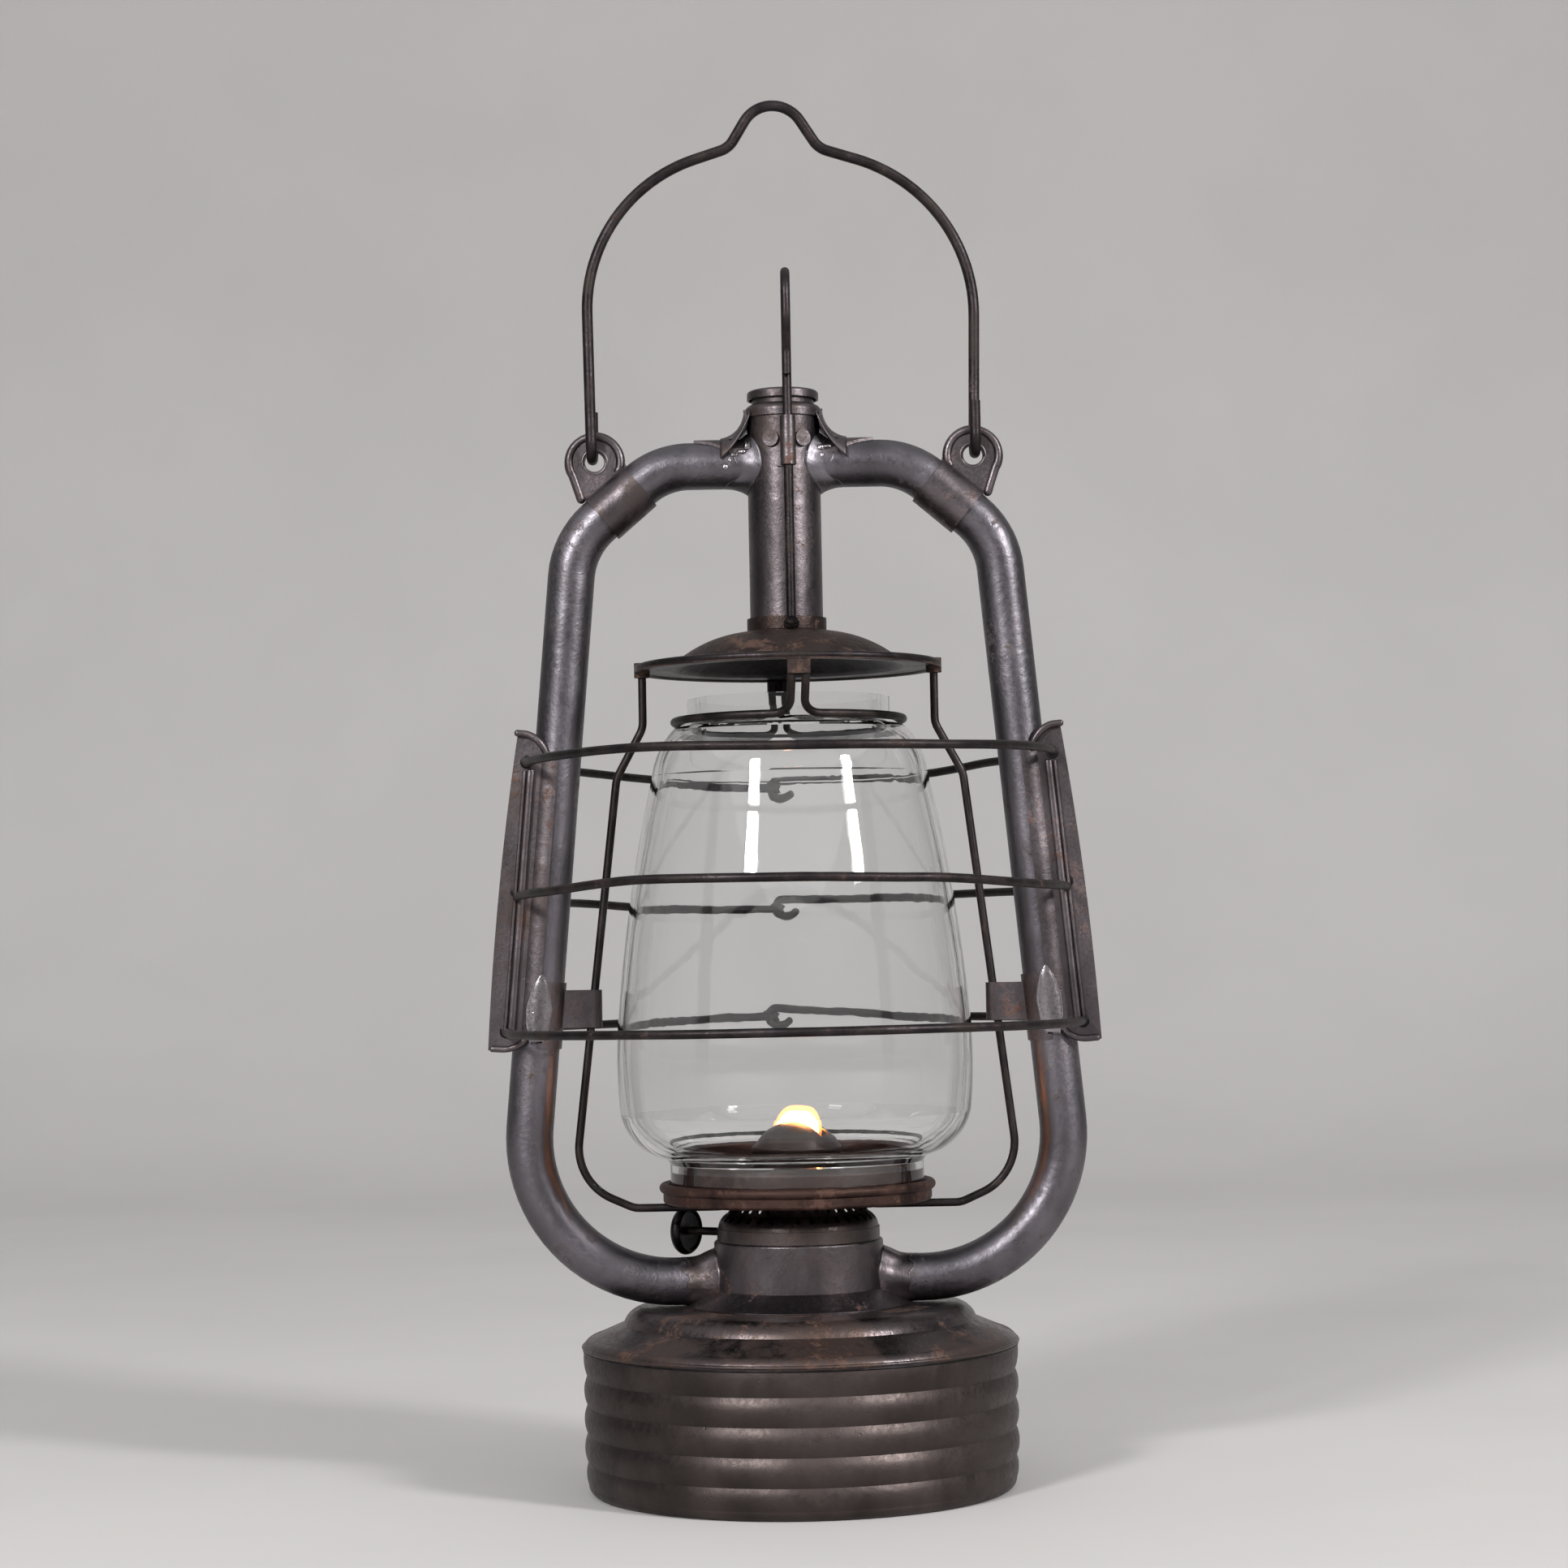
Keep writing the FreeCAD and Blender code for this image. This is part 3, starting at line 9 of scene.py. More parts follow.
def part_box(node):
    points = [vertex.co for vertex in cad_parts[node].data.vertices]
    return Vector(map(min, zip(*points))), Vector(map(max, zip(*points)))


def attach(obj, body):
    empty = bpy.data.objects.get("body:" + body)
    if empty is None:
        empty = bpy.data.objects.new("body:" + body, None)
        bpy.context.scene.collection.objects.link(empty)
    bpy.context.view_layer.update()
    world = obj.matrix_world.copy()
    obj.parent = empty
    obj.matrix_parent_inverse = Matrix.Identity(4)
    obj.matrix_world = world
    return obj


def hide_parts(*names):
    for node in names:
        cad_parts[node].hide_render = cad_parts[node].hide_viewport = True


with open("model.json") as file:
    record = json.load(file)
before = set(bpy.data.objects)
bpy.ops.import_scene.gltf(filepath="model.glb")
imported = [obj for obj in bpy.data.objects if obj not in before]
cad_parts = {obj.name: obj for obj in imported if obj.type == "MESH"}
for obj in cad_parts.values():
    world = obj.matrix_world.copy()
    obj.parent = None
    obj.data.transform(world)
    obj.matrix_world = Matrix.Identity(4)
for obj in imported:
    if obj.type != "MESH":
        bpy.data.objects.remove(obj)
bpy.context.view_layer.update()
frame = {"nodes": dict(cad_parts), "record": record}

# Barn lantern. The lengths below are millimetres in the CAD frame, and MM turns them into metres.
MM = 0.001
scene = bpy.context.scene
nodes = frame["nodes"]


# ---------------------------------------------------------------- materials

class Shader:
    """A node material built up from short calls, each of which adds a node and returns its output."""

    def __init__(self, name):
        self.material = bpy.data.materials.new(name)
        self.material.use_nodes = True
        self.tree = self.material.node_tree
        self.tree.nodes.clear()
        output = self.tree.nodes.new("ShaderNodeOutputMaterial")
        self.surface = self.tree.nodes.new("ShaderNodeBsdfPrincipled")
        self.link(self.surface.outputs[0], output.inputs["Surface"])
        self.coordinates = self.tree.nodes.new("ShaderNodeTexCoord").outputs["Object"]

    def link(self, source, target):
        self.tree.links.new(source, target)

    def feed(self, value, socket):
        """Link a value into a socket, or set it where it is a plain number or colour."""
        if isinstance(value, (int, float)):
            socket.default_value = value
        elif isinstance(value, tuple):
            socket.default_value = (*value, 1.0)
        else:
            self.link(value, socket)

    def stretched(self, scale):
        """Object coordinates scaled unevenly, so that a pattern runs long in one direction."""
        mapping = self.tree.nodes.new("ShaderNodeMapping")
        mapping.inputs["Scale"].default_value = scale
        self.link(self.coordinates, mapping.inputs["Vector"])
        return mapping.outputs[0]

    def noise(self, scale, detail=4.0, rough=0.55, warp=0.0, coordinates=None):
        node = self.tree.nodes.new("ShaderNodeTexNoise")
        node.inputs["Scale"].default_value = scale
        node.inputs["Detail"].default_value = detail
        node.inputs["Roughness"].default_value = rough
        node.inputs["Distortion"].default_value = warp
        self.link(coordinates or self.coordinates, node.inputs["Vector"])
        return node.outputs["Fac"]

    def cells(self, scale):
        node = self.tree.nodes.new("ShaderNodeTexVoronoi")
        node.inputs["Scale"].default_value = scale
        self.link(self.coordinates, node.inputs["Vector"])
        return node.outputs["Distance"]

    def height(self):
        """Height in the piece's own coordinates, in metres."""
        node = self.tree.nodes.new("ShaderNodeSeparateXYZ")
        self.link(self.coordinates, node.inputs[0])
        return node.outputs["Z"]

    def ramp(self, value, low, high, start=0.0, end=1.0):
        """Remap value from low..high to start..end, clamped."""
        node = self.tree.nodes.new("ShaderNodeMapRange")
        node.interpolation_type = "SMOOTHSTEP"
        for name, number in zip(("From Min", "From Max", "To Min", "To Max"), (low, high, start, end)):
            node.inputs[name].default_value = number
        self.link(value, node.inputs["Value"])
        return node.outputs["Result"]

    def math(self, operation, first, second):
        node = self.tree.nodes.new("ShaderNodeMath")
        node.operation = operation
        self.feed(first, node.inputs[0])
        self.feed(second, node.inputs[1])
        return node.outputs[0]

    def blend(self, *parts):
        """Weighted sum of patterns, each given as a pair of a pattern and its share."""
        first, *others = [self.math("MULTIPLY", pattern, share) for pattern, share in parts]
        for other in others:
            first = self.math("ADD", first, other)
        return first

    def mix(self, share, first, second):
        """Blend two colours, each a tuple or a socket."""
        node = self.tree.nodes.new("ShaderNodeMix")
        node.data_type = "RGBA"
        self.feed(share, node.inputs["Factor"])
        colours = [socket for socket in node.inputs if socket.type == "RGBA"]
        self.feed(first, colours[0])
        self.feed(second, colours[1])
        return [socket for socket in node.outputs if socket.type == "RGBA"][0]

    def bump(self, height, depth, strength, under=None):
        node = self.tree.nodes.new("ShaderNodeBump")
        node.inputs["Distance"].default_value = depth
        node.inputs["Strength"].default_value = strength
        self.link(height, node.inputs["Height"])
        if under is not None:
            self.link(under, node.inputs["Normal"])
        return node.outputs[0]


def shaded(colour, share):
    return tuple(channel * share for channel in colour)


def patina(name, steel, oxide, rust, oxide_from, rust_from, rough, metallic=1.0,
           pits=0.5, blotch=42.0, dents=0.5):
    """Bare dark steel with brown oxide in large blotches, rust in small ones, pits and shallow dents.

    The oxide and the rust start where their patterns pass oxide_from and rust_from; blotch is the
    number of large blotches in a metre."""
    shader = Shader(name)
    large = shader.noise(blotch, 6.0, 0.62, 0.4)
    small = shader.noise(blotch * 5.2, 5.0, 0.6, 0.2)
    fine = shader.noise(blotch * 22.0, 4.0, 0.65)
    grain = shader.noise(1900.0, 3.0, 0.7)
    drift = shader.noise(blotch * 1.7, 4.0, 0.5, 0.3, shader.stretched((1.0, 1.0, 0.5)))
    oxide_patch = shader.blend((large, 0.62), (small, 0.26), (fine, 0.12))
    oxide_mask = shader.ramp(oxide_patch, oxide_from - 0.03, oxide_from + 0.12)
    rust_patch = shader.blend((drift, 0.42), (small, 0.36), (fine, 0.22))
    rust_mask = shader.ramp(rust_patch, rust_from - 0.03, rust_from + 0.07)
    pit = shader.ramp(shader.cells(520.0), 0.04, 0.22, 1.0, 0.0)
    pit = shader.math("MULTIPLY", pit, shader.ramp(small, 0.52, 0.70))
    tone = shader.ramp(drift, 0.30, 0.72)
    bare = shader.mix(tone, shaded(steel, 0.62), shaded(steel, 1.18))
    colour = shader.mix(oxide_mask, bare, oxide)
    colour = shader.mix(rust_mask, colour, rust)
    colour = shader.mix(shader.math("MULTIPLY", pit, pits), colour, shaded(oxide, 0.35))
    shader.link(colour, shader.surface.inputs["Base Color"])
    worn = shader.math("MAXIMUM", shader.math("MULTIPLY", oxide_mask, 0.5), rust_mask)
    shader.link(shader.ramp(worn, 0.0, 1.0, metallic, 0.3), shader.surface.inputs["Metallic"])
    polish = shader.math("ADD", shader.ramp(fine, 0.3, 0.7, rough - 0.05, rough + 0.06),
                         shader.math("MULTIPLY", worn, 0.26))
    shader.link(polish, shader.surface.inputs["Roughness"])
    relief = shader.bump(grain, 0.00004, 0.5)
    crust = shader.math("SUBTRACT", shader.math("MULTIPLY", rust_mask, 0.5), pit)
    relief = shader.bump(crust, 0.00012, 0.6, relief)
    relief = shader.bump(small, 0.0003, 0.25 * dents, relief)
    relief = shader.bump(large, 0.0012, 0.6 * dents, relief)
    shader.link(relief, shader.surface.inputs["Normal"])
    return shader.material


def glass():
    """Clear blown glass: faint waves and a little dust."""
    shader = Shader("clear_glass")
    surface = shader.surface.inputs
    surface["Base Color"].default_value = (0.985, 0.988, 0.985, 1.0)
    surface["Metallic"].default_value = 0.0
    surface["IOR"].default_value = 1.5
    surface["Transmission Weight"].default_value = 1.0
    dust = shader.noise(520.0, 6.0, 0.7)
    film = shader.noise(30.0, 3.0, 0.5)
    haze = shader.math("MULTIPLY", shader.ramp(dust, 0.66, 0.80), shader.ramp(film, 0.45, 0.7))
    shader.link(shader.ramp(haze, 0.0, 1.0, 0.0, 0.22), surface["Roughness"])
    waves = shader.noise(46.0, 2.0, 0.4, 0.0, shader.stretched((1.0, 1.0, 0.35)))
    ripples = shader.noise(150.0, 2.0, 0.4, 0.0, shader.stretched((1.0, 1.0, 0.8)))
    relief = shader.bump(ripples, 0.00012, 0.25)
    shader.link(shader.bump(waves, 0.0006, 0.3, relief), surface["Normal"])
    return shader.material


def cotton():
    """Woven flat wick, charred in patches."""
    shader = Shader("wick_cotton")
    weave = shader.tree.nodes.new("ShaderNodeTexWave")
    weave.inputs["Scale"].default_value = 420.0
    weave.bands_direction = "Z"
    shader.link(shader.coordinates, weave.inputs["Vector"])
    char = shader.ramp(shader.noise(500.0, 4.0), 0.3, 0.7)
    colour = shader.mix(char, (0.055, 0.045, 0.038), (0.40, 0.34, 0.25))
    shader.link(colour, shader.surface.inputs["Base Color"])
    shader.link(shader.ramp(char, 0.0, 1.0, 0.85, 0.95), shader.surface.inputs["Roughness"])
    shader.link(shader.bump(weave.outputs["Fac"], 0.0003, 0.8), shader.surface.inputs["Normal"])
    return shader.material


def fire(name, foot, tip, low_colour, high_colour, strength, alpha):
    """Glowing gas that turns from one colour to the other between two heights in millimetres."""
    shader = Shader(name)
    flicker = shader.ramp(shader.noise(300.0), 0.3, 0.7, -0.6 * MM, 0.6 * MM)
    flicker = shader.math("ADD", shader.height(), flicker)
    colour = shader.mix(shader.ramp(flicker, foot * MM, tip * MM), low_colour, high_colour)
    surface = shader.surface.inputs
    shader.link(colour, surface["Emission Color"])
    shader.link(colour, surface["Base Color"])
    surface["Emission Strength"].default_value = strength
    surface["Roughness"].default_value = 1.0
    surface["Alpha"].default_value = alpha
    return shader.material


STEEL = (0.140, 0.129, 0.143)
BROWN = (0.062, 0.042, 0.035)
RED_BROWN = (0.095, 0.045, 0.030)

finishes = {
    "tube": patina("tube_steel", STEEL, (0.078, 0.062, 0.062), BROWN, 0.56, 0.585, 0.40,
                   pits=0.8, dents=0.8),
    "steel": patina("sheet_steel", (0.122, 0.105, 0.111), (0.058, 0.043, 0.039), RED_BROWN, 0.53, 0.59, 0.38,
                    blotch=60.0),
    "fount": patina("fount_steel", (0.072, 0.058, 0.055), (0.048, 0.036, 0.032), BROWN, 0.53, 0.64, 0.44,
                    blotch=34.0, dents=0.4),
    "fount_top": patina("fount_top_steel", (0.105, 0.088, 0.090), (0.060, 0.042, 0.037),
                        (0.080, 0.042, 0.030), 0.46, 0.54, 0.31, blotch=40.0, dents=0.7),
    "canopy": patina("canopy_oxide", (0.064, 0.047, 0.043), (0.034, 0.023, 0.020), (0.078, 0.041, 0.028),
                     0.44, 0.52, 0.45, blotch=62.0, dents=1.3),
    "wire": patina("dark_wire", (0.038, 0.032, 0.034), (0.027, 0.020, 0.018), (0.050, 0.029, 0.022),
                   0.48, 0.58, 0.42, blotch=90.0),
    "dark_iron": patina("black_iron", (0.022, 0.020, 0.022), (0.015, 0.012, 0.012), (0.03, 0.018, 0.013),
                        0.50, 0.66, 0.38, blotch=120.0),
    "rusty_plate": patina("plate_rust", (0.048, 0.032, 0.029), (0.046, 0.022, 0.017), (0.068, 0.030, 0.020),
                          0.40, 0.54, 0.46, blotch=55.0, dents=0.8),
    "burner": patina("burner_steel", (0.090, 0.075, 0.072), (0.052, 0.037, 0.031), (0.085, 0.042, 0.028),
                     0.48, 0.60, 0.38, blotch=75.0),
    "tinned_steel": patina("tinned_steel", (0.24, 0.22, 0.23), (0.12, 0.10, 0.10), BROWN, 0.58, 0.68, 0.30,
                           blotch=70.0),
    "gasket": patina("old_washer", (0.022, 0.020, 0.019), (0.03, 0.025, 0.022), (0.045, 0.032, 0.025),
                     0.5, 0.65, 0.75, metallic=0.0),
    "glass": glass(),
    "wick": cotton(),
}
slots = {part["node"]: part["material_slot"] for part in frame["record"]["subparts"]}


def dress(piece, slot):
    """Give a piece the finish of a material slot."""
    piece.data.materials.clear()
    piece.data.materials.append(finishes[slot])


for name, node in nodes.items():
    dress(node, slots[name])


# ---------------------------------------------------------------- shapes

def vec(x, y, z):
    return Vector((x, y, z))


def add(name, vertices, faces, slot, body="frame", instead=(), thick=0.0):
    """New closed piece from vertices in millimetres, which rides on a body and may stand for CAD nodes.

    A sheet is given its thickness; on anything else the open ends are closed."""
    mesh = bpy.data.meshes.new(name)
    mesh.from_pydata([tuple(v * MM) for v in vertices], [], faces)
    shell = bmesh.new()
    shell.from_mesh(mesh)
    bmesh.ops.remove_doubles(shell, verts=shell.verts, dist=0.01 * MM)
    if thick:
        bmesh.ops.solidify(shell, geom=shell.faces[:], thickness=thick * MM)
    else:
        open_edges = [edge for edge in shell.edges if edge.is_boundary]
        bmesh.ops.holes_fill(shell, edges=open_edges, sides=0)
    bmesh.ops.recalc_face_normals(shell, faces=shell.faces[:])
    shell.to_mesh(mesh)
    shell.free()
    mesh.polygons.foreach_set("use_smooth", [True] * len(mesh.polygons))
    piece = bpy.data.objects.new(name, mesh)
    scene.collection.objects.link(piece)
    dress(piece, slot)
    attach(piece, body)
    if instead:
        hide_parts(*instead)
    return piece


def curved(points, steps):
    """Smooth line through the points, with this many steps from each point to the next."""
    line = []
    ends = [points[0] * 2 - points[1]] + points + [points[-1] * 2 - points[-2]]
    for a, b, c, d in zip(ends, ends[1:], ends[2:], ends[3:]):
        for step in range(steps):
            t = step / steps
            line.append(0.5 * (2 * b + (c - a) * t + (2 * a - 5 * b + 4 * c - d) * t * t
                               + (3 * b - a - 3 * c + d) * t * t * t))
    return line + [points[-1]]


def bar(points, radius, up, thin=1.0, sides=14, uneven=0.1):
    """Vertices and faces of a bar along a line; thin flattens it along up, and its ends are round.

    Its radius wanders by the share uneven."""
    rings = []
    count = len(points)
    for index, point in enumerate(points):
        along = (points[min(index + 1, count - 1)] - points[max(index - 1, 0)]).normalized()
        rise = (up - along * up.dot(along)).normalized()
        rings.append((point, along, rise, along.cross(rise), 1.0))
    first, last = rings[0], rings[-1]
    tips = (0.98, 0.86, 0.6, 0.22)
    bulge = radius * min(thin, 1.0)
    front = [(first[0] - first[1] * bulge * math.sqrt(1 - t * t), *first[1:4], t) for t in reversed(tips)]
    back = [(last[0] + last[1] * bulge * math.sqrt(1 - t * t), *last[1:4], t) for t in tips]
    vertices = []
    for point, along, rise, side, share in front + rings + back:
        wide = radius * share * (1 + uneven * noise.noise(point * 0.21))
        for step in range(sides):
            angle = 2 * math.pi * step / sides
            vertices.append(point + rise * (wide * thin * math.sin(angle)) + side * (wide * math.cos(angle)))
    total = len(front + rings + back)
    faces = [(r * sides + s, r * sides + (s + 1) % sides, (r + 1) * sides + (s + 1) % sides,
              (r + 1) * sides + s) for r in range(total - 1) for s in range(sides)]
    faces.append(tuple(reversed(range(sides))))
    faces.append(tuple(range((total - 1) * sides, total * sides)))
    return vertices, faces


def grid(shape, across, along, closed=False):
    """Vertices and faces of a sheet whose points come from shape(u, v), with u and v from 0 to 1."""
    vertices = [shape(i / across, j / along) for j in range(along + 1) for i in range(across + (not closed))]
    wide = across + (not closed)
    faces = []
    for j in range(along):
        for i in range(across):
            k = (i + 1) % wide
            faces.append((j * wide + i, j * wide + k, (j + 1) * wide + k, (j + 1) * wide + i))
    return vertices, faces


def joined(*shapes):
    """Several shapes as one list of vertices and one of faces."""
    vertices, faces = [], []
    for points, rims in shapes:
        faces += [tuple(index + len(vertices) for index in rim) for rim in rims]
        vertices += points
    return vertices, faces


def mirror(shape):
    """The same shape on the other side of the lantern."""
    vertices, faces = shape
    return [vec(-v.x, v.y, v.z) for v in vertices], [tuple(reversed(rim)) for rim in faces]


def both_sides(name, shape, slot, thick=0.0):
    """A piece on the right and its mirror image on the left."""
    add(name + "_right", *shape, slot, thick=thick)
    add(name + "_left", *mirror(shape), slot, thick=thick)


def lump(centre, size, seed, rough=0.35):
    """Rounded blob with an uneven surface; size is its half extent along x, y and z."""
    def shape(u, v):
        turn = 2 * math.pi * u
        tilt = math.pi * min(max(v, 0.001), 0.999)
        ray = vec(math.sin(tilt) * math.cos(turn), math.sin(tilt) * math.sin(turn), math.cos(tilt))
        swell = 1 + rough * noise.noise(ray * 1.6 + vec(seed, seed * 0.7, -seed))
        return centre + vec(ray.x * size[0], ray.y * size[1], ray.z * size[2]) * swell
    return grid(shape, 22, 12, closed=True)


def box_of(name):
    """Low and high corners of a CAD node, in millimetres."""
    low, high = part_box(name)
    return Vector(low) / MM, Vector(high) / MM


# Right-hand side of the frame. The leg of the air tube lies on the line between its two corners.
AIR_TUBE_LOW = 50.6
LEG_FOOT = vec(68.8, 0, AIR_TUBE_LOW)
LEG_HEAD = vec(52.3, 0, 232.3)
TUBE_RADIUS = 5.8
ARM_HEIGHT = 251.0
EYE = vec(46.8, 0, 252.5)
FIN_PLANE = -4.9

# Round parts about the lantern's axis.
CHIMNEY_RADIUS = 9.0
COLLAR_RADIUS = 20.7
FOUNT_RADIUS = 53.0
FOUNT_SEAM = 34.6

GUARD_WIRES = ("guard_wire_top", "guard_wire_middle", "guard_wire_bottom")
WIRE_RADIUS = 1.1
WICK_ANGLE = 148.0
BACKWARD = vec(0, 1, 0)
UPWARD = vec(0, 0, 1)


def ease(share):
    """Share from 0 to 1 that starts and ends gently."""
    return share * share * (3 - 2 * share)


def leg_x(z):
    """Distance of the air tube's middle from the lantern's axis at a height."""
    share = (z - LEG_FOOT.z) / (LEG_HEAD.z - LEG_FOOT.z)
    return LEG_FOOT.x + (LEG_HEAD.x - LEG_FOOT.x) * share


# ---------------------------------------------------------------- guard wires, hooked at the back

def blend_heights(table, x):
    """Height above the wire's level at one x, between the listed places."""
    places = sorted(table.items())
    if x <= places[0][0]:
        return places[0][1]
    for (a, low), (b, high) in zip(places, places[1:]):
        if x <= b:
            return low + (high - low) * ease((x - a) / (b - a))
    return places[-1][1]


def guard_wire(name, front, left_back, right_back, hook):
    """Wire ring that starts and ends in two small hooks, which catch each other behind the globe.

    The wire isn't level: front, left_back and right_back list how far it lies above its own level at
    places from left to right, and hook is the place where its ends meet."""
    low, high = box_of(name)
    level = (low.z + high.z) / 2
    radius = (high.x - low.x) / 2 - WIRE_RADIUS
    gauge = WIRE_RADIUS - 0.02
    back = high.y - WIRE_RADIUS - 0.04
    root_gap, tail_gap = 1.6, 0.6
    start = math.degrees(math.acos((hook + root_gap) / radius))
    end = math.degrees(math.acos((hook - tail_gap) / radius))
    steps = 120
    sharpness = 2.2
    points = []
    for step in range(steps + 1):
        angle = math.radians(start + (end - 360 - start) * step / steps)
        x = radius * math.cos(angle)
        y = radius * math.sin(angle)
        fade = min(max(y / radius * sharpness, -1), 1)
        behind = blend_heights(right_back if x > hook else left_back, x)
        before = blend_heights(front, x)
        share = ease((fade + 1) / 2)
        points.append(vec(x, y, level + before * (1 - share) + behind * share))
    root = points[0]
    tail = points[-1]
    curl = [root + vec(3.1, 0.4, -3.4), root + vec(1.6, 0.2, -4.3), root + vec(-0.6, 0.1, -4.4),
            root + vec(-2.3, 0, -3.3), root + vec(-2.5, 0, -1.6), root + vec(-1.5, 0, -0.3)]
    catch = [tail + vec(0.9, 0.3, -0.1), tail + vec(1.9, 1.6, -0.3), tail + vec(1.2, 2.7, 0.2),
             tail + vec(-0.8, 2.6, 0.6)]
    line = curved(curl + points[::3] + points[-1:] + catch, 3)
    line = [vec(p.x, min(p.y, back), p.z) for p in line]
    wire = bar(line, gauge, UPWARD, sides=12, uneven=0.03)
    add("hooked_" + name, *wire, "wire", instead=[name])


guard_wire(GUARD_WIRES[0], {-63: -0.2, -36: 0.3, 0: -0.4, 31: -0.3, 64: 0.4},
           {-53: -0.5, -44: -1.4, -34: -2.2, -24: -3.4, -8: -4.4},
           {-2: -2.5, 10: -2.1, 35: -1.8, 44: -0.9, 53: 0.3}, -4.4)
guard_wire(GUARD_WIRES[1], {-65: -0.9, -33: 1.3, 0: 1.1, 30: 0.6, 64: -1.1},
           {-56: -2.5, -41: -3.6, -25: -4.4, -8: -4.6},
           {-2: -2.1, 10: -2.3, 35: -2.0, 47: -1.8, 55: -1.7}, -3.6)
guard_wire(GUARD_WIRES[2], {-68: -0.3, -33: 0.0, 0: 0.2, 30: 0.3, 67: 0.1},
           {-49: 0.2, -32: 0.7, -12: 1.2}, {-3: 3.3, 9: 2.4, 34: 0.6, 49: 0.4}, -6.0)


# ---------------------------------------------------------------- eyes, fins and brackets

def arc(centre, radius, first, last, steps):
    """Points of an arc in the XZ plane; the angles are degrees from +X towards +Z."""
    turns = [math.radians(first + (last - first) * step / steps) for step in range(steps + 1)]
    return [vec(centre.x + radius * math.cos(t), 0, centre.z + radius * math.sin(t)) for t in turns]


def ear_trim():
    """Rolled lip round each bail ear, and the thin rim of its eye."""
    outline = [vec(50.3, 0, 243.4)] + arc(EYE, 6.35, -32, 205, 26) + [vec(38.0, 0, 249.2)]
    lip = bar(curved(outline, 3), 1.15, BACKWARD, 1.1)
    rim = bar(arc(EYE, 3.0, 0, 360, 30), 0.62, BACKWARD, 1.25)
    both_sides("ear_lip", lip, "steel")
    both_sides("ear_eye_rim", rim, "steel")


def fin_trim():
    """Folded edge beside each tube, and the curled lips at the ends of the fins."""
    low, high = box_of("guard_fin_right")
    front = low.y
    fold_low, fold_high, step = 113, 179, 3
    heights = range(fold_low, fold_high, step)
    fold = [vec(leg_x(z) + TUBE_RADIUS + 0.15, front + 0.25, z) for z in heights]
    ridge = bar(fold, 0.95, BACKWARD, 0.62, uneven=0.12)
    groove_line = [p + vec(1.55, 0.1, 0) for p in fold]
    crease = bar(groove_line, 0.42, BACKWARD, 0.9, uneven=0.2)
    both_sides("fin_fold", joined(ridge, crease), "steel")
    top_out = vec(high.x - 8.4, front + 0.2, high.z - 0.35)
    top_line = [top_out, top_out + vec(-2.6, 0, -0.35), top_out + vec(-5.0, -0.1, -1.9),
                top_out + vec(-6.6, 0.1, -4.2), top_out + vec(-7.2, 0.5, -6.2)]
    top = bar(curved(top_line, 5), 0.85, BACKWARD, 0.9)
    foot_out = vec(high.x - 1.1, front + 0.2, low.z + 0.35)
    foot_line = [foot_out, foot_out + vec(-3.6, -0.15, -0.15), foot_out + vec(-6.6, -0.1, 0.8),
                 foot_out + vec(-8.6, 0.2, 2.7)]
    bottom = bar(curved(foot_line, 5), 0.8, BACKWARD, 0.9)
    both_sides("fin_lips", joined(top, bottom), "steel")


def solder_leaf():
    """Leaf of solder that holds each bracket's pad to the tube."""
    foot, length = 109.5, 17.0
    facing, widest = -94.0, 34.0

    def shape(u, v):
        z = foot + length * v
        span = widest * math.sin(math.pi * min(v * 0.86 + 0.14, 1.0)) ** 0.75
        turn = math.radians(facing + span * (2 * u - 1) * (1 + 0.12 * noise.noise(vec(z * 0.3, 4.0, u))))
        rise = 0.62 + 0.42 * max(0.0, 1 - (2 * u - 1) ** 2) ** 0.5 * min(1.0, 5 * min(v, 1 - v) + 0.2)
        edge = 0.22 if 0.04 < min(u, 1 - u) < 0.14 else 0.0
        reach = TUBE_RADIUS + rise * min(1.0, 9 * min(u, 1 - u) + 0.1) + edge
        return vec(leg_x(z) + reach * math.cos(turn), reach * math.sin(turn), z)
    both_sides("bracket_leaf", grid(shape, 26, 30), "tinned_steel")


def fillet(wall, axis_height, length, rise, seed):
    """Uneven weld that flares from a tube onto the round wall it runs into."""
    def shape(u, v):
        turn = 2 * math.pi * u
        patch = noise.noise(vec(1.8 * math.cos(turn), 1.8 * math.sin(turn), seed + 1.5 * v))
        reach = TUBE_RADIUS - 0.1 + rise * (1 - v) ** 2.3 * (1 + 0.5 * patch) + 0.12 * (1 + patch)
        y = reach * math.cos(turn)
        return vec(math.sqrt(wall * wall - y * y) - 0.2 + length * v * (1 + 0.35 * patch), y,
                   axis_height + reach * math.sin(turn))
    return grid(shape, 48, 14, closed=True)


def hood():
    """Sheet that sweeps from the saddle's band down onto the arch tube beside it."""
    band_height = 263.6
    neck = CHIMNEY_RADIUS + 0.4
    drape = TUBE_RADIUS + 0.55

    def shape(u, v):
        round_arm = math.radians(-82 + 164 * u)
        round_neck = 0.42 * round_arm
        top = vec(neck * math.cos(round_neck), neck * math.sin(round_neck), band_height)
        knee = vec(10.4, 6.6 * math.sin(round_arm), ARM_HEIGHT + 4.6 + 2.6 * math.cos(round_arm))
        foot = vec(15.5, drape * math.sin(round_arm), ARM_HEIGHT + drape * math.cos(round_arm))
        return top * (1 - v) ** 2 + knee * (2 * v * (1 - v)) + foot * v * v
    return grid(shape, 30, 14)


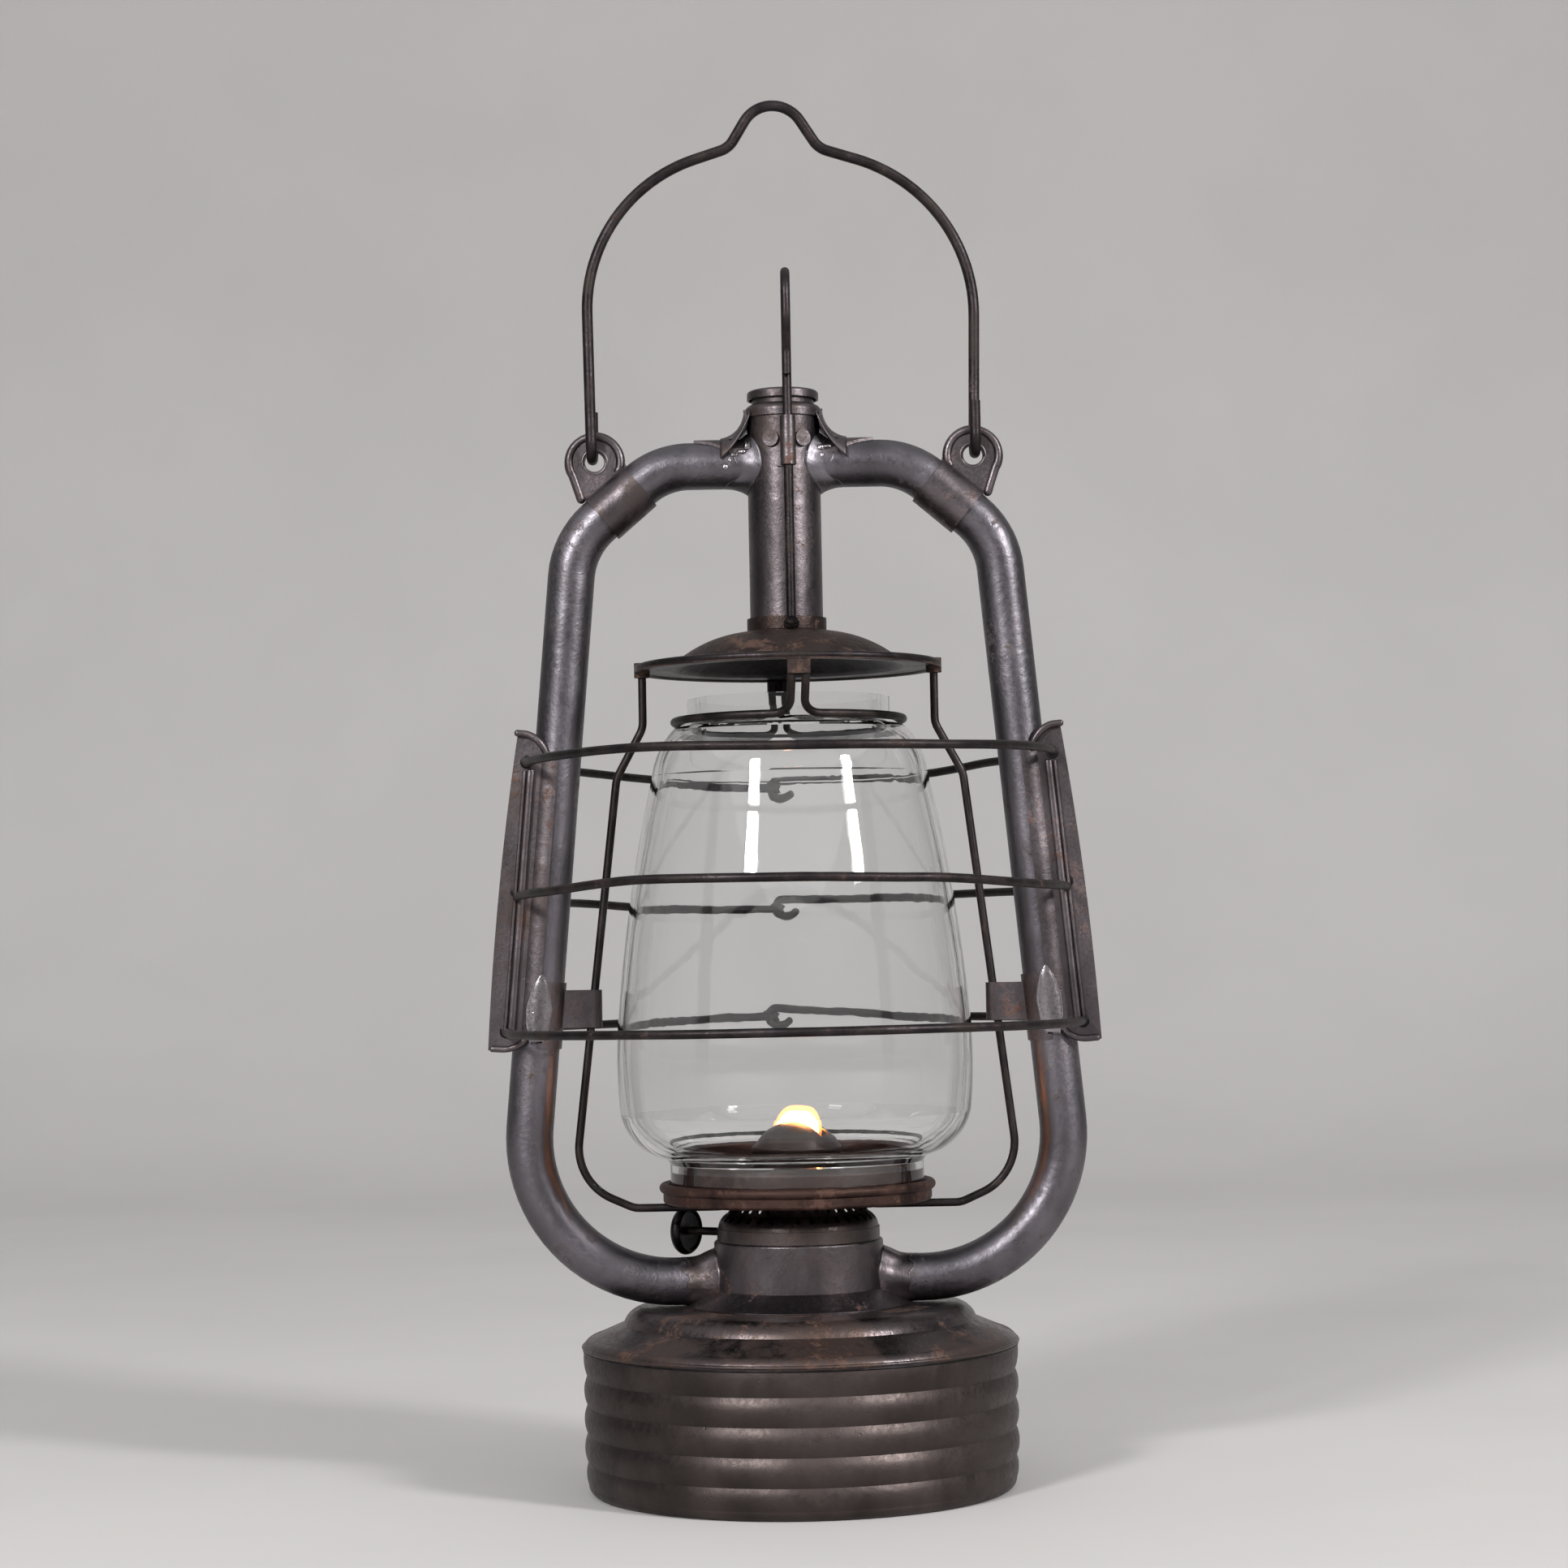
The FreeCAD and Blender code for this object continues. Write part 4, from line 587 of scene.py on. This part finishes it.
def welds():
    """Blended joints of the tubes, with blobs and drips where the arms leave the chimney."""
    both_sides("collar_weld", fillet(COLLAR_RADIUS + 0.1, AIR_TUBE_LOW, 7.5, 2.3, 1.5), "steel")
    both_sides("arm_weld", fillet(CHIMNEY_RADIUS + 0.1, ARM_HEIGHT, 5.0, 1.8, 4.5), "tube")
    both_sides("saddle_hood", hood(), "steel", thick=0.4)
    drips = [(vec(-8.9, -5.2, 255.0), (1.0, 0.9, 1.3)), (vec(-10.2, -5.4, 253.7), (1.3, 0.6, 0.7)),
             (vec(-12.2, -5.5, 252.9), (1.1, 0.4, 0.5)), (vec(-13.4, -5.6, 251.4), (0.5, 0.35, 1.1)),
             (vec(-14.4, -5.6, 250.0), (0.7, 0.3, 0.7)), (vec(9.1, -5.2, 254.4), (1.2, 0.8, 0.9)),
             (vec(10.8, -5.5, 254.6), (1.2, 0.5, 0.5)), (vec(9.4, -5.6, 252.4), (0.7, 0.5, 0.9))]
    blobs = [lump(place, half, number) for number, (place, half) in enumerate(drips, start=1)]
    add("weld_drips", *joined(*blobs), "tinned_steel")


def ring(radius, gauge, height, flat=1.0):
    """Thin hoop about the lantern's axis."""
    def shape(u, v):
        turn = 2 * math.pi * u
        tilt = 2 * math.pi * v
        reach = radius + gauge * math.cos(tilt)
        return vec(reach * math.cos(turn), reach * math.sin(turn), height + gauge * flat * math.sin(tilt))
    return grid(shape, 160, 8, closed=True)


def shade_and_soot():
    """Dark sheet on the underside of the canopy, painted shade as well as soot: under the dome from the
    chimney out, then under the brim.
    """
    root, dome_width, brim_width = 11.5, 17.2, 7.4
    top, drop, rise = 208.3, 7.9, 6.0
    dome_share = 0.7

    def shape(u, v):
        turn = 2 * math.pi * u
        bend = min(v / dome_share, 1.0)
        reach = root + dome_width * bend + brim_width * max(v - dome_share, 0.0) / (1 - dome_share)
        height = top - drop * bend + rise * bend * (1 - bend)
        return vec(reach * math.cos(turn), reach * math.sin(turn), height)
    return grid(shape, 96, 20, closed=True)


def small_parts():
    """Soot and painted shade under the canopy, rolled edges and seams with a painted shadow line under the
    fount's seam, and dark plugs of painted shade in the fins' holes round the guard wires.
    """
    # Dark sheet under the canopy: painted shade, and soot.
    add("canopy_shade_and_soot", *shade_and_soot(), "dark_iron", "lift", thick=0.1)
    add("fount_seam_edge", *ring(FOUNT_RADIUS - 0.1, 0.55, FOUNT_SEAM + 0.75, 0.8), "fount_top")
    # Dark ring just under the seam's lip: a painted shadow line.
    add("fount_seam_shadow", *ring(FOUNT_RADIUS - 0.15, 0.32, FOUNT_SEAM - 0.1), "dark_iron")
    add("canopy_roll", *ring(37.0, 0.95, 200.8), "wire", "lift")
    add("plate_upstand", *ring(29.0, 0.45, 74.4, 9.0), "rusty_plate", "lift")
    # Dark plugs round the guard wires in the fins' holes: painted shade, where the holes look dark.
    plugs = []
    for name in GUARD_WIRES:
        low, high = box_of(name)
        middle = (low.z + high.z) / 2
        reach = math.sqrt((high.x - WIRE_RADIUS) ** 2 - FIN_PLANE ** 2)
        plugs.append(lump(vec(reach, FIN_PLANE, middle), (1.95, 0.52, 1.95), middle, 0.1))
    both_sides("fin_hole_shade", joined(*plugs), "dark_iron")


ear_trim()
fin_trim()
solder_leaf()
welds()
small_parts()


# ---------------------------------------------------------------- flame

def flame():
    """Low fan of fire on the wick, standing out of the dome's slot."""
    turn = math.radians(WICK_ANGLE)
    along = vec(math.cos(turn), math.sin(turn), 0)
    aside = vec(-along.y, along.x, 0)

    def fan(name, half_width, thick, foot, tip, lean):
        def shape(u, v):
            angle = 2 * math.pi * u
            level = math.sin(math.pi / 2 * v)
            girth = max(math.cos(math.pi / 2 * v), 0.02) ** 0.55
            wave = 1 + 0.06 * noise.noise(vec(2 * math.cos(angle), v * 2, half_width))
            return (along * (half_width * girth * math.cos(angle) * wave - lean * level)
                    + aside * (thick * girth * math.sin(angle)) + vec(0, 0, foot + (tip - foot) * level))
        piece = add(name, *grid(shape, 32, 16, closed=True), "wick", "wick")
        piece.data.materials.clear()
        return piece

    foot, tip = 84.0, 91.8
    core = fan("flame_core", 6.2, 2.1, foot, tip, 0.6)
    white = fire("flame_white", foot, tip, (1.0, 0.40, 0.10), (1.0, 0.50, 0.20), 42.0, 1.0)
    core.data.materials.append(white)
    glow = fan("flame_glow", 7.0, 2.9, foot - 0.4, tip + 1.2, 0.8)
    orange = fire("flame_orange", foot, tip + 2.2, (1.0, 0.30, 0.06), (1.0, 0.46, 0.16), 2.0, 0.30)
    glow.data.materials.append(orange)


flame()


# ---------------------------------------------------------------- stage, light and camera

def pale(name, colour, rough):
    """Matt surface of one colour with a faint cloudiness."""
    shader = Shader(name)
    tone = shader.noise(6.0, 3.0)
    shade = shader.mix(shader.ramp(tone, 0.3, 0.7), colour, shaded(colour, 0.96))
    shader.link(shade, shader.surface.inputs["Base Color"])
    shader.surface.inputs["Roughness"].default_value = rough
    return shader.material


def backdrop():
    """Floor that curves up into a wall behind the lantern, in metres."""
    reach, back, rise, bend = 8.0, 1.6, 3.0, 0.6
    line = [(-reach, 0.0), (back - bend, 0.0)]
    line += [(back - bend + bend * math.sin(a), bend - bend * math.cos(a))
             for a in (math.radians(6 * step) for step in range(1, 16))]
    line.append((back, rise))
    points = [(x, y, z) for y, z in line for x in (-reach, reach)]
    faces = [(2 * i, 2 * i + 1, 2 * i + 3, 2 * i + 2) for i in range(len(line) - 1)]
    mesh = bpy.data.meshes.new("backdrop")
    mesh.from_pydata(points, [], faces)
    mesh.polygons.foreach_set("use_smooth", [True] * len(mesh.polygons))
    sheet = bpy.data.objects.new("backdrop", mesh)
    scene.collection.objects.link(sheet)
    mesh.materials.append(pale("pale_floor", (0.51, 0.495, 0.485), 0.8))


def softbox(name, azimuth, elevation, distance, width, height, power):
    """Area light seen from the lantern at an angle to the right of the front and above the horizon."""
    light = bpy.data.lights.new(name, "AREA")
    light.shape = "RECTANGLE"
    light.size = width
    light.size_y = height
    light.energy = power
    side = math.radians(azimuth)
    rise = math.radians(elevation)
    middle = vec(0, 0, 0.15)
    lamp = bpy.data.objects.new(name, light)
    level = distance * math.cos(rise)
    lamp.location = middle + vec(level * math.sin(side), -level * math.cos(side), distance * math.sin(rise))
    lamp.rotation_euler = (middle - lamp.location).to_track_quat("-Z", "Y").to_euler()
    scene.collection.objects.link(lamp)


def studio():
    """Even light from all round and above, and two softboxes in front."""
    world = bpy.data.worlds.new("studio")
    world.use_nodes = True
    world.node_tree.nodes["Background"].inputs["Color"].default_value = (0.84, 0.84, 0.88, 1.0)
    world.node_tree.nodes["Background"].inputs["Strength"].default_value = 0.22
    scene.world = world
    softbox("lamp_left", -30, 24, 1.7, 0.24, 0.30, 21.0)
    softbox("lamp_right", 50, 24, 1.7, 0.22, 0.40, 23.0)
    sky = bpy.data.lights.new("sky", "SUN")
    sky.energy = 1.25
    sky.angle = math.radians(110.0)
    dome = bpy.data.objects.new("sky", sky)
    dome.rotation_euler = (math.radians(18.0), 0, 0)
    scene.collection.objects.link(dome)


def camera():
    """Level with the middle of the globe, straight in front, tilted up a little."""
    aside, distance, height = -0.00145, 0.850, 0.132
    tilt, roll = 2.69, -1.09
    data = bpy.data.cameras.new("camera")
    data.sensor_width = 36.0
    data.lens = 79.27
    data.dof.use_dof = False
    view = bpy.data.objects.new("camera", data)
    view.location = (aside, -distance, height)
    turn = Matrix.Rotation(math.radians(90.0 + tilt), 4, "X") @ Matrix.Rotation(math.radians(roll), 4, "Z")
    view.rotation_euler = turn.to_euler()
    scene.collection.objects.link(view)
    scene.camera = view


backdrop()
studio()
camera()
scene.view_settings.view_transform = "Standard"
